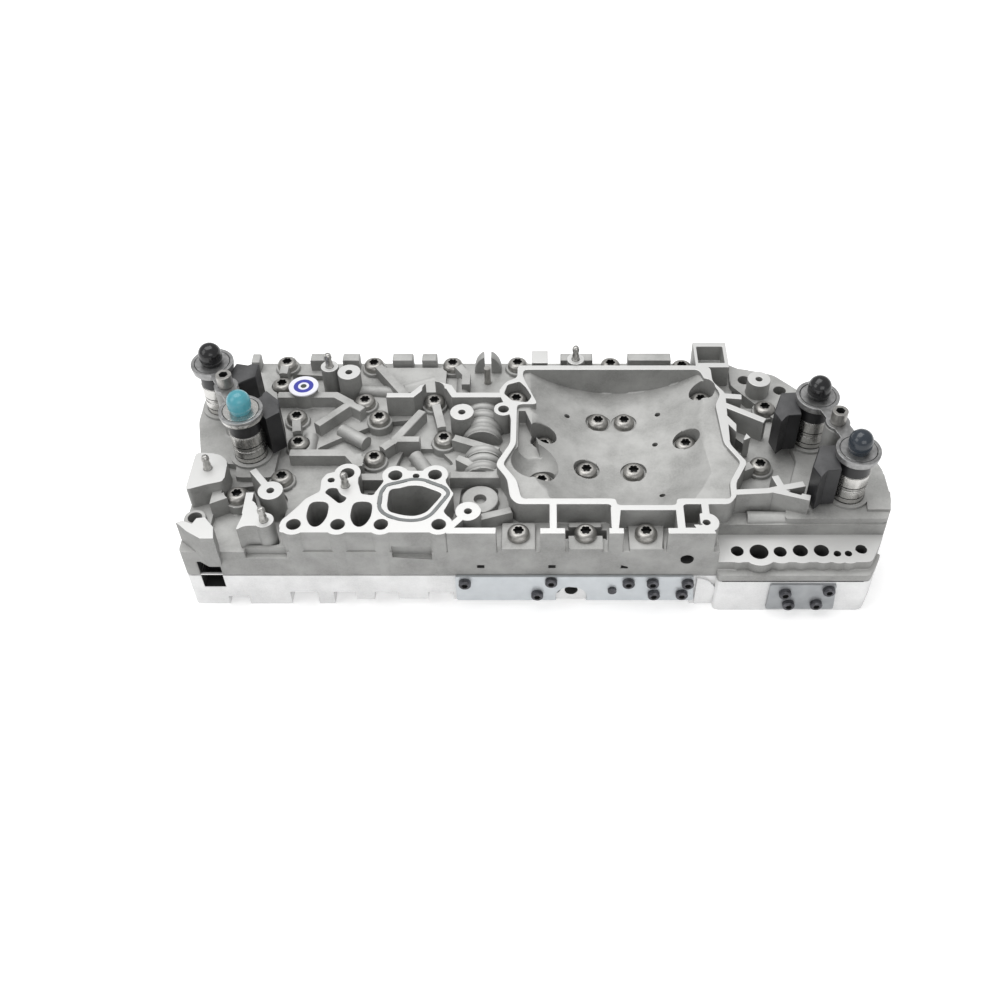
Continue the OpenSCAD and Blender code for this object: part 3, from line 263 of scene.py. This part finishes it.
def bumped(tree, height, strength, distance):
    """Raises the surface by a height, for the eye only."""
    bump = tree.nodes.new("ShaderNodeBump")
    bump.inputs["Strength"].default_value = strength
    bump.inputs["Distance"].default_value = distance
    tree.links.new(height, bump.inputs["Height"])
    tree.links.new(bump.outputs["Normal"], tree.nodes["Principled BSDF"].inputs["Normal"])


def cast_metal(name, dark, light, cut, grain, metallic, levels, wall):
    """Cast aluminium: mottled, with painted shade that darkens upright walls, and brighter cut faces at the
    stated levels.
    """
    rough, polish, speckle_rough = 0.56, 0.2, 0.08
    speckle_share, speckle_gain = 0.35, 1.12
    made = plain(name, light, metallic, 0.5)
    tree = made.node_tree
    shader = tree.nodes["Principled BSDF"]
    skin = grouped(tree, groups["cast_skin"], Grain=grain, Blotch=55.0)
    mottle = ramp(tree, skin.outputs["Patches"], 0.35, 0.65)
    speckle = ramp(tree, skin.outputs["Speckle"], 0.3, 0.7)
    rough_colour = mixed(tree, mottle, dark, light)
    speckled = math_node(tree, "MULTIPLY", speckle, speckle_share)
    rough_colour = mixed(tree, speckled, rough_colour, tuple(speckle_gain * c for c in light))
    # Painted shade: upright faces are darkened to the wall share of their colour, and faces that point up keep
    # it, as if lit from above.
    facing = tree.nodes.new("ShaderNodeSeparateXYZ")
    tree.links.new(tree.nodes.new("ShaderNodeTexCoord").outputs["Normal"], facing.inputs[0])
    top_lit_share = ramp(tree, facing.outputs["Z"], 0.1, 0.95)
    rough_colour = mixed(tree, top_lit_share, tinted(tree, rough_colour, wall), rough_colour)
    mask = None
    for level in levels:
        here = grouped(tree, groups["level_face"], Level=level * MM).outputs["Mask"]
        mask = here if mask is None else math_node(tree, "MAXIMUM", mask, here)
    tree.links.new(mixed(tree, mask, rough_colour, cut), shader.inputs["Base Color"])
    roughness = math_node(tree, "SUBTRACT", rough, math_node(tree, "MULTIPLY", mask, polish))
    roughness = math_node(tree, "ADD", roughness, math_node(tree, "MULTIPLY", speckle, speckle_rough))
    tree.links.new(roughness, shader.inputs["Roughness"])
    height = math_node(tree, "MULTIPLY", skin.outputs["Height"], math_node(tree, "SUBTRACT", 1.0, mask))
    bumped(tree, height, strength=0.35, distance=0.0002)
    return made


def worn_metal(name, dark, light, metallic, roughness, scale=300.0):
    """Plated steel with faint uneven tone."""
    made = plain(name, light, metallic, roughness)
    tree = made.node_tree
    shader = tree.nodes["Principled BSDF"]
    skin = grouped(tree, groups["cast_skin"], Grain=scale * 4, Blotch=scale)
    tone = ramp(tree, skin.outputs["Patches"], 0.3, 0.7)
    tree.links.new(mixed(tree, tone, dark, light), shader.inputs["Base Color"])
    uneven = math_node(tree, "MULTIPLY", skin.outputs["Speckle"], 0.12)
    tree.links.new(math_node(tree, "ADD", roughness - 0.06, uneven), shader.inputs["Roughness"])
    return made


def moulded(name, dark, light, roughness, scale=160.0):
    """Plastic or rubber with a faint cloudy tone, a fine grain and small changes of gloss."""
    made = plain(name, light, 0.0, roughness)
    tree = made.node_tree
    shader = tree.nodes["Principled BSDF"]
    skin = grouped(tree, groups["cast_skin"], Grain=scale * 9, Blotch=scale)
    tone = ramp(tree, skin.outputs["Patches"], 0.3, 0.7)
    tree.links.new(mixed(tree, tone, dark, light), shader.inputs["Base Color"])
    uneven = math_node(tree, "MULTIPLY", skin.outputs["Patches"], 0.1)
    tree.links.new(math_node(tree, "ADD", roughness - 0.05, uneven), shader.inputs["Roughness"])
    bumped(tree, skin.outputs["Speckle"], strength=0.12, distance=0.0001)
    return made


def can_metal(name, dark, light, groove_shade, heights):
    """Turned and plated steel with thin dark lines at the stated heights, painted as the shade in grooves."""
    groove = 0.35
    made = worn_metal(name, dark, light, 0.95, 0.26, 90.0)
    tree = made.node_tree
    shader = tree.nodes["Principled BSDF"]
    point = tree.nodes.new("ShaderNodeSeparateXYZ")
    tree.links.new(tree.nodes.new("ShaderNodeTexCoord").outputs["Object"], point.inputs[0])
    mask = None
    # Painted shade: a thin near-black line at each height stands for the shade in a groove.
    for height in heights:
        gap = math_node(tree, "ABSOLUTE", math_node(tree, "SUBTRACT", point.outputs["Z"], height * MM))
        here = math_node(tree, "LESS_THAN", gap, groove * MM)
        mask = here if mask is None else math_node(tree, "MAXIMUM", mask, here)
    colour = shader.inputs["Base Color"].links[0].from_socket
    tree.links.new(mixed(tree, mask, colour, groove_shade), shader.inputs["Base Color"])
    return made


def marker_material():
    """White plastic with a blue ring and a dark dot, by the distance from the disc's middle."""
    white, blue, dot = (0.82, 0.82, 0.88), (0.045, 0.05, 0.36), (0.05, 0.06, 0.045)
    made = plain("marker_disc", white, 0.0, 0.3)
    tree = made.node_tree
    place = tree.nodes.new("ShaderNodeTexCoord").outputs["Object"]
    flat = tree.nodes.new("ShaderNodeVectorMath")
    flat.operation = "MULTIPLY"
    flat.inputs[1].default_value = (1, 1, 0)
    tree.links.new(place, flat.inputs[0])
    gap = tree.nodes.new("ShaderNodeVectorMath")
    gap.operation = "DISTANCE"
    gap.inputs[1].default_value = at(DISC_SHARE) * MM
    tree.links.new(flat.outputs["Vector"], gap.inputs[0])
    share = math_node(tree, "DIVIDE", gap.outputs["Value"], DISC_D / 2 * MM)
    colour = dot
    for edge, paint in ((0.2, (0.78, 0.78, 0.86)), (0.37, blue), (0.667, white)):
        past = math_node(tree, "GREATER_THAN", share, edge)
        colour = mixed(tree, past, colour, paint)
    tree.links.new(colour, tree.nodes["Principled BSDF"].inputs["Base Color"])
    return made


# Modelling helpers
def clear_selection():
    if bpy.context.mode != "OBJECT":
        bpy.ops.object.mode_set(mode="OBJECT")
    bpy.ops.object.select_all(action="DESELECT")


def only(piece):
    clear_selection()
    piece.select_set(True)
    bpy.context.view_layer.objects.active = piece


def apply_modifiers(piece):
    only(piece)
    for modifier in list(piece.modifiers):
        bpy.ops.object.modifier_apply(modifier=modifier.name)


def settle(piece):
    """Puts the piece's place into its mesh, so its object is at the origin."""
    only(piece)
    bpy.ops.object.transform_apply(location=True, rotation=True, scale=True)


def sorted_sets(count, pairs):
    """For each of the numbered things, the one that stands for its set, when each pair belongs together."""
    lead = list(range(count))

    def leader(i):
        while lead[i] != i:
            lead[i] = lead[lead[i]]
            i = lead[i]
        return i

    for a, b in pairs:
        lead[leader(a)] = leader(b)
    return [leader(i) for i in range(count)]


def flat_regions(mesh):
    """For each face, the number of the flat region that it lies in, and the area of each region."""
    first, pairs = {}, []
    for face in mesh.polygons:
        for key in face.edge_keys:
            other = first.setdefault(key, face)
            if other is not face and other.normal.dot(face.normal) > SAME_FACING:
                pairs.append((face.index, other.index))
    regions = sorted_sets(len(mesh.polygons), pairs)
    areas = {}
    for face in mesh.polygons:
        areas[regions[face.index]] = areas.get(regions[face.index], 0.0) + face.area
    return regions, areas


def level_shading(piece, limit=50):
    """Keeps wide flat faces flat to the eye.

    Each corner takes the normals round it by the area of their flat regions.
    """
    mesh = piece.data
    regions, areas = flat_regions(mesh)
    around = [{} for _ in mesh.vertices]
    for face in mesh.polygons:
        region = regions[face.index]
        for i in face.vertices:
            around[i][region] = (face.normal.copy(), areas[region])
    least = math.cos(math.radians(limit))
    corners = []
    for face in mesh.polygons:
        facing = face.normal
        longest = max((mesh.vertices[a].co - mesh.vertices[b].co).length for a, b in face.edge_keys)
        if face.area < 0.5 * SLIVER * MM * longest:
            nearby = (pair for i in face.vertices for pair in around[i].values())
            facing = max(nearby, key=lambda pair: pair[1])[0]
        for i in face.vertices:
            total = Vector((0, 0, 0))
            for normal, area in around[i].values():
                if normal.dot(facing) > least:
                    total += normal * area
            corners.append(total.normalized() if total.length else facing)
    mesh.normals_split_custom_set(corners)


def finish_piece(piece, body, material, smooth=35):
    only(piece)
    bpy.ops.object.shade_smooth_by_angle(angle=math.radians(smooth))
    settle(piece)
    piece.data.materials.clear()
    piece.data.materials.append(materials[material])
    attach(piece, body)
    return piece


def surface_of(mesh):
    """A mesh's surface, for finding the nearest point on it."""
    return BVHTree.FromPolygons([v.co for v in mesh.vertices], [p.vertices for p in mesh.polygons])


def pull_back(piece, original, reach):
    """Moves the few points that a bevel threw off the surface back onto it."""
    surface = surface_of(original)
    for point in piece.data.vertices:
        near, _, _, gap = surface.find_nearest(point.co)
        if gap > reach:
            point.co = near


def join_triangles(piece):
    """Joins the loose triangles of a piece at their corners."""
    only(piece)
    bpy.ops.object.mode_set(mode="EDIT")
    bpy.ops.mesh.select_all(action="SELECT")
    bpy.ops.mesh.remove_doubles(threshold=MERGE_GAP)
    bpy.ops.object.mode_set(mode="OBJECT")


def badly_bevelled(piece, surface, reach):
    """Corners of the faces that a bevel folded over or threw off the surface."""
    found = []
    for face in piece.data.polygons:
        _, normal, _, gap = surface.find_nearest(face.center)
        if gap > reach or (normal.dot(face.normal) < FOLDED and face.area > TINY_AREA):
            found.extend(piece.data.vertices[i].co.copy() for i in face.vertices)
    return found


def spare_edges(mesh, places, reach):
    """Takes the bevel off the edges that end near the stated places."""
    tree = KDTree(len(places))
    for number, place in enumerate(places):
        tree.insert(place, number)
    tree.balance()
    weights = mesh.attributes["bevel_weight_edge"].data
    for edge in mesh.edges:
        near = any(tree.find(mesh.vertices[i].co)[2] < reach for i in edge.vertices)
        if weights[edge.index].value and near:
            weights[edge.index].value = 0.0


def weigh_edges(piece, share):
    """Marks the sharp edges for a bevel, each with the share of its width that a rule gives."""
    mesh = piece.data
    normals = {}
    for face in mesh.polygons:
        for key in face.edge_keys:
            normals.setdefault(key, []).append(face.normal)
    layer = mesh.attributes.new("bevel_weight_edge", "FLOAT", "EDGE")
    limit = math.cos(math.radians(SHARP_ANGLE))
    for edge in mesh.edges:
        sides = normals.get(edge.key, [])
        if len(sides) == 2 and sides[0].dot(sides[1]) < limit:
            a, b = (mesh.vertices[i].co / MM for i in edge.vertices)
            layer.data[edge.index].value = share(a, b)


def dressed(node, name, material, bevel=0.0, segments=1, body="casing", share=lambda a, b: 1.0):
    """A merged copy of a model's node with softened edges, which stands for it."""
    clear_selection()
    piece = nodes[node].copy()
    piece.data = nodes[node].data.copy()
    piece.name = name
    for key in list(piece.keys()):
        del piece[key]
    piece.parent = None
    bpy.context.scene.collection.objects.link(piece)
    join_triangles(piece)
    if bevel:
        weigh_edges(piece, share)
        unbevelled = piece.data
        surface = surface_of(unbevelled)
        for _ in range(BEVEL_TRIES):
            piece.data = unbevelled.copy()
            modifier = piece.modifiers.new("soft_edges", "BEVEL")
            modifier.width = bevel * MM
            modifier.segments = segments
            modifier.limit_method = "WEIGHT"
            modifier.use_clamp_overlap = False
            apply_modifiers(piece)
            faults = badly_bevelled(piece, surface, STRAY * bevel * MM)
            if not faults:
                break
            spare_edges(unbevelled, faults, SPARE_REACH * bevel * MM)
        pull_back(piece, nodes[node].data, PULL_REACH * bevel * MM)
    finish_piece(piece, body, material)
    level_shading(piece)
    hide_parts(node)
    return piece


def cut_off(piece, place, direction):
    """Cuts the piece by a plane, drops what lies on the direction's side and closes the cut."""
    only(piece)
    bpy.ops.object.mode_set(mode="EDIT")
    bpy.ops.mesh.select_all(action="SELECT")
    bpy.ops.mesh.bisect(plane_co=place, plane_no=direction, use_fill=True, clear_outer=True)
    bpy.ops.object.mode_set(mode="OBJECT")


def joined(pieces, name):
    """One piece made of several, under the stated name."""
    clear_selection()
    for piece in pieces:
        piece.select_set(True)
    bpy.context.view_layer.objects.active = pieces[0]
    bpy.ops.object.join()
    pieces[0].name = name
    return pieces[0]


def soften(piece, width, segments=3):
    """Rounds every sharp edge of a form that this script adds."""
    modifier = piece.modifiers.new("soft_edges", "BEVEL")
    modifier.width, modifier.segments = width * MM, segments
    modifier.angle_limit = math.radians(40)
    apply_modifiers(piece)


def bore_collars():
    """Rounded rings, like a bellows, round the two humps beside the tub."""
    rings = []
    for x_share, (start, end, count) in zip(HUMP_X, HUMPS):
        x = at((x_share, 0)).x
        for i in range(count):
            y = start + (i + 0.5) * (end - start) / count
            clear_selection()
            bpy.ops.mesh.primitive_torus_add(
                location=(x * MM, y * MM, FLOOR_Z * MM), rotation=(math.radians(90), 0, 0),
                major_radius=(HUMP_R + COLLAR_REACH - COLLAR_T) * MM, minor_radius=COLLAR_T * MM,
                major_segments=56, minor_segments=14)
            ring = bpy.context.object
            settle(ring)
            cut_off(ring, (0, 0, (FLOOR_Z - SINK) * MM), (0, 0, -1))
            rings.append(ring)
    finish_piece(joined(rings, "bore_collars"), "casing", "upper_cast", smooth=60)


def plate_strip():
    """The thin light strip of the separator plate that crosses the slot at the left end."""
    clear_selection()
    left, right = (at((share, 0)).x for share in END_SLOT)
    bpy.ops.mesh.primitive_cube_add(size=1, location=(
        (left + right) / 2 * MM, (at((0, 0)).y + STRIP_Y) * MM, (LOWER_H + SPLIT_Z) / 2 * MM))
    strip = bpy.context.object
    strip.scale = ((right - left + STRIP_OVERLAP) * MM, STRIP_W * MM, (SPLIT_Z - LOWER_H) * MM)
    strip.name = "plate_strip"
    settle(strip)
    soften(strip, 0.2, 2)
    finish_piece(strip, "casing", "lower_cast", smooth=40)


def stud_hump():
    """The rounded wall behind the stud, with a slot through its middle."""
    middle = at(STUD_HUMP, FLOOR_Z) * MM
    halves = []
    for side in (-1, 1):
        clear_selection()
        bpy.ops.mesh.primitive_cylinder_add(
            vertices=48, radius=STUD_HUMP_W / 2 * MM, depth=STUD_HUMP_T * MM, location=middle,
            rotation=(math.radians(90), 0, 0))
        half = bpy.context.object
        half.scale.y = 2 * STUD_HUMP_H / STUD_HUMP_W
        settle(half)
        cut_off(half, middle - Vector((0, 0, SINK * MM)), (0, 0, -1))
        cut_off(half, middle + Vector((side * STUD_SLOT_W / 2 * MM, 0, 0)), (-side, 0, 0))
        soften(half, 0.7)
        halves.append(half)
    finish_piece(joined(halves, "stud_hump"), "casing", "upper_cast", smooth=40)


def valve_springs():
    """A dressed copy of each valve spring, with its own mesh. Each real spring shortens towards the cover
    plate as its spool slides, by a little more than its travel, which this script does not show.
    """
    for i in range(1, 6):
        spring = dressed(f"valve_spring_{i}", f"spring_{i}", "pin")
        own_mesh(spring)


def loose_parts(mesh):
    """The faces of a mesh, in one list for each loose part."""
    part_of = sorted_sets(len(mesh.vertices), [tuple(edge.vertices) for edge in mesh.edges])
    parts = {}
    for face in mesh.polygons:
        parts.setdefault(part_of[face.vertices[0]], []).append(face)
    return list(parts.values())


def paint_drives(piece, along, sign, reach, depth):
    """Paints shade into the drive of every screw in a piece, as a near-black material of its own.

    The heads point along an axis, by its number and sign.
    """
    mesh = piece.data
    mesh.materials.append(materials["recess"])
    across = [i for i in range(3) if i != along]
    for faces in loose_parts(mesh):
        corners = {i: mesh.vertices[i].co for face in faces for i in face.vertices}
        tip = max(sign * c[along] for c in corners.values())
        middle = [(min(c[i] for c in corners.values()) + max(c[i] for c in corners.values())) / 2
                  for i in across]
        dark = {
            number for number, c in corners.items()
            if math.dist([c[i] for i in across], middle) < reach * MM
            and sign * c[along] > tip - depth * MM
        }
        for face in faces:
            if dark.issuperset(face.vertices):
                face.material_index = 1


def paint_faces(piece, material, chosen):
    """Gives the faces that a rule chooses another material.

    The rule gets a face's middle, in millimetres, and its normal.
    """
    piece.data.materials.append(materials[material])
    number = len(piece.data.materials) - 1
    for face in piece.data.polygons:
        if chosen(face.center / MM, face.normal):
            face.material_index = number


def cast_edge(a, b):
    """Small on machined faces and small holes, wide where the casting was poured."""
    machined = any(
        abs(a.z - z) < MACHINED_SLACK and abs(b.z - z) < MACHINED_SLACK
        for z in (TOP_Z, ROW_Z, SPLIT_Z, LOWER_H, 0))
    return SMALL_SHARE if machined or (a - b).length < SHORT_EDGE else 1.0


def in_end_slot(middle, normal):
    """The walls inside the slot that both castings share at the left end of the front, where a shadow is
    painted.
    """
    left, right = (at((share, 0)).x for share in END_SLOT)
    front = at((0, 0)).y
    return (LOWER_H - END_SLOT_DOWN < middle.z < SPLIT_Z + END_SLOT_UP
            and left - 0.1 < middle.x < right + 0.1 and front + 0.6 < middle.y < front + END_SLOT_DEPTH)


def in_row_hole(middle):
    """The walls of the row of holes at the right."""
    return middle.z < ROW_Z - 0.6 and any(
        abs((middle - at(hole, middle.z)).length - ROW_HOLE_R * hole[2]) < 0.25 for hole in ROW_HOLES)


def in_dark_hole(middle, normal):
    """The walls of the holes that get painted shade inside: the row at the right, and the front's slots and
    holes.
    """
    if in_row_hole(middle):
        return True
    back = middle.y - at((0, 0)).y
    if not 0.5 < back < FRONT_DEPTH:
        return False
    low, high = FRONT_SLOT_Z
    if back < FRONT_SLOT_DEPTH and low - 0.2 < middle.z < high + 0.2:
        return any(abs(middle.x - at((slot, 0)).x) < FRONT_SLOT_W / 2 + 0.2 for slot in FRONT_SLOTS)
    return any(math.hypot(middle.x - at((hole, 0)).x, middle.z - z) < FRONT_HOLE_R + 0.15
               for hole, z in FRONT_HOLES)


groups = {"cast_skin": cast_skin_group(), "level_face": level_face_group()}
materials = {
    # The upper casting's last number is its painted wall shade; the lower casting's 1.0 paints none.
    "upper_cast": cast_metal("upper_cast", (0.34, 0.34, 0.33), (0.5, 0.5, 0.488), (0.67, 0.67, 0.66),
                             900.0, 0.45, [TOP_Z, ROW_Z], 0.68),
    "lower_cast": cast_metal("lower_cast", (0.61, 0.61, 0.61), (0.74, 0.74, 0.74), (0.77, 0.77, 0.765),
                             1100.0, 0.3, [LOWER_H], 1.0),
    "plate": worn_metal("plate_steel", (0.25, 0.25, 0.25), (0.42, 0.42, 0.42), 0.9, 0.42),
    "cover": worn_metal("cover_steel", (0.5, 0.525, 0.545), (0.565, 0.59, 0.61), 0.5, 0.42, 120.0),
    "side_cover": worn_metal("side_cover_steel", (0.27, 0.28, 0.29), (0.35, 0.36, 0.37), 0.5, 0.42, 120.0),
    "screw": worn_metal("screw_steel", (0.27, 0.265, 0.253), (0.42, 0.41, 0.39), 0.82, 0.37),
    "black_screw": worn_metal("black_screw", (0.035, 0.035, 0.04), (0.12, 0.12, 0.13), 0.75, 0.32),
    "nickel": worn_metal("nickel_steel", (0.42, 0.415, 0.4), (0.66, 0.65, 0.63), 0.95, 0.26),
    # The cans' near-black lines are painted groove shade.
    "can": can_metal("can_steel", (0.53, 0.525, 0.51), (0.62, 0.61, 0.59), (0.05, 0.05, 0.05),
                     [DECK_Z + share * CAN_H for share in (0.16, 0.34, 0.4)]),
    # Near-black cast colour, painted as shade inside holes and slots.
    "shaded": moulded("painted_hole_shade", (0.03, 0.03, 0.03), (0.065, 0.065, 0.063), 0.6),
    # Near black, painted as the shadow inside the end slot.
    "slot_shadow": moulded("painted_slot_shadow", (0.006, 0.006, 0.006), (0.02, 0.02, 0.02), 0.7),
    "bracket": worn_metal("bracket_steel", (0.22, 0.22, 0.22), (0.4, 0.4, 0.4), 0.9, 0.38),
    "pin": worn_metal("pin_steel", (0.3, 0.3, 0.29), (0.55, 0.54, 0.52), 0.95, 0.3),
    "rubber": moulded("seal_rubber", (0.15, 0.16, 0.16), (0.21, 0.22, 0.22), 0.6),
    "disc": marker_material(),
    # Near black, painted as shade inside the screw drives.
    "recess": moulded("drive_recess", (0.002, 0.002, 0.002), (0.007, 0.007, 0.007), 0.7),
    "black_plastic": moulded("black_plastic", (0.009, 0.009, 0.01), (0.018, 0.018, 0.02), 0.42),
    # Lighter grey, painted as light on the connectors' upper faces.
    "painted_top_light": moulded("painted_top_light", (0.05, 0.05, 0.052), (0.08, 0.08, 0.083), 0.48),
    "cap_black": moulded("cap_black", (0.006, 0.006, 0.007), (0.012, 0.012, 0.013), 0.18, 60.0),
    "cap_blue": moulded("cap_blue", (0.02, 0.026, 0.035), (0.032, 0.042, 0.055), 0.17, 60.0),
    "cap_teal": moulded("cap_teal", (0.06, 0.26, 0.32), (0.095, 0.36, 0.42), 0.22, 60.0),
    "spool": worn_metal("spool_metal", (0.5, 0.5, 0.5), (0.65, 0.65, 0.66), 0.95, 0.25),
}

set_stage()

upper = dressed("upper_housing", "upper_casting", "upper_cast", bevel=0.9, segments=2, share=cast_edge)
lower = dressed("lower_housing", "lower_casting", "lower_cast", bevel=0.35)
# Painted shadow: the walls inside the end slot are painted near black.
paint_faces(upper, "slot_shadow", in_end_slot)
paint_faces(lower, "slot_shadow", in_end_slot)
# Painted shade: the walls inside the dark holes and the front's slots.
paint_faces(upper, "shaded", in_dark_hole)
paint_faces(lower, "shaded", in_dark_hole)
dressed("front_cover_plate", "front_cover", "cover", bevel=0.25)
dressed("side_cover_plate", "side_cover", "side_cover", bevel=0.25)
for group in ("front_cover_screws", "side_cover_screws"):
    piece = dressed(group, group + "_finished", "black_screw", bevel=0.15)
    paint_drives(piece, 1, -1, *SMALL_DRIVE)
for group in ("rear_row_screws", "left_bank_screws", "tub_screws", "front_edge_screws",
              "right_bank_screws"):
    piece = dressed(group, group + "_finished", "screw", bevel=0.15)
    paint_drives(piece, 2, 1, *PAN_DRIVE)
piece = dressed("bracket_screws", "clamp_screws", "screw", bevel=0.25)
paint_drives(piece, 2, 1, *CLAMP_DRIVE)

cap_look = {"front_left": "cap_teal", "rear_left": "cap_black",
            "front_right": "cap_blue", "rear_right": "cap_black"}
for corner, look in cap_look.items():
    can = dressed("solenoid_" + corner, "can_" + corner, "can", bevel=0.2)
    paint_faces(can, "black_plastic", lambda c, n: DECK_Z + COIL_FROM * CAN_H < c.z < DECK_Z + COIL_TO * CAN_H)
    # The front left can's plate keeps the light can steel as a painted highlight; the other plates get the
    # dark plate steel.
    if corner != "front_left":
        paint_faces(can, "bracket", lambda c, n: c.z > DECK_Z + CAN_PLATE_FROM * CAN_H)
    dressed("solenoid_cap_" + corner, "cap_" + corner, look, bevel=0.2)
    block = dressed("connector_" + corner, "connector_body_" + corner, "black_plastic",
                    bevel=0.6, segments=2)
    # Painted light: the faces of each connector that point up are painted a lighter grey, as if lit from
    # above.
    paint_faces(block, "painted_top_light", lambda c, n: n.z > 0.75)
for side in ("left", "right"):
    dressed("solenoid_bracket_" + side, "bracket_" + side, "bracket", bevel=0.3)
dressed("locating_pins", "pins", "pin", bevel=0.1)
bore_collars()
plate_strip()
stud_hump()
valve_springs()

plain_nodes = {"separator_plate": "plate", "front_cover_plug": "black_screw", "threaded_stud": "screw",
               "port_seal": "rubber", "marker_disc": "disc", "check_balls": "nickel"}
for i in range(1, 6):
    plain_nodes[f"spool_valve_{i}"] = "spool"
for node, material in plain_nodes.items():
    nodes[node].data.materials.clear()
    nodes[node].data.materials.append(materials[material])
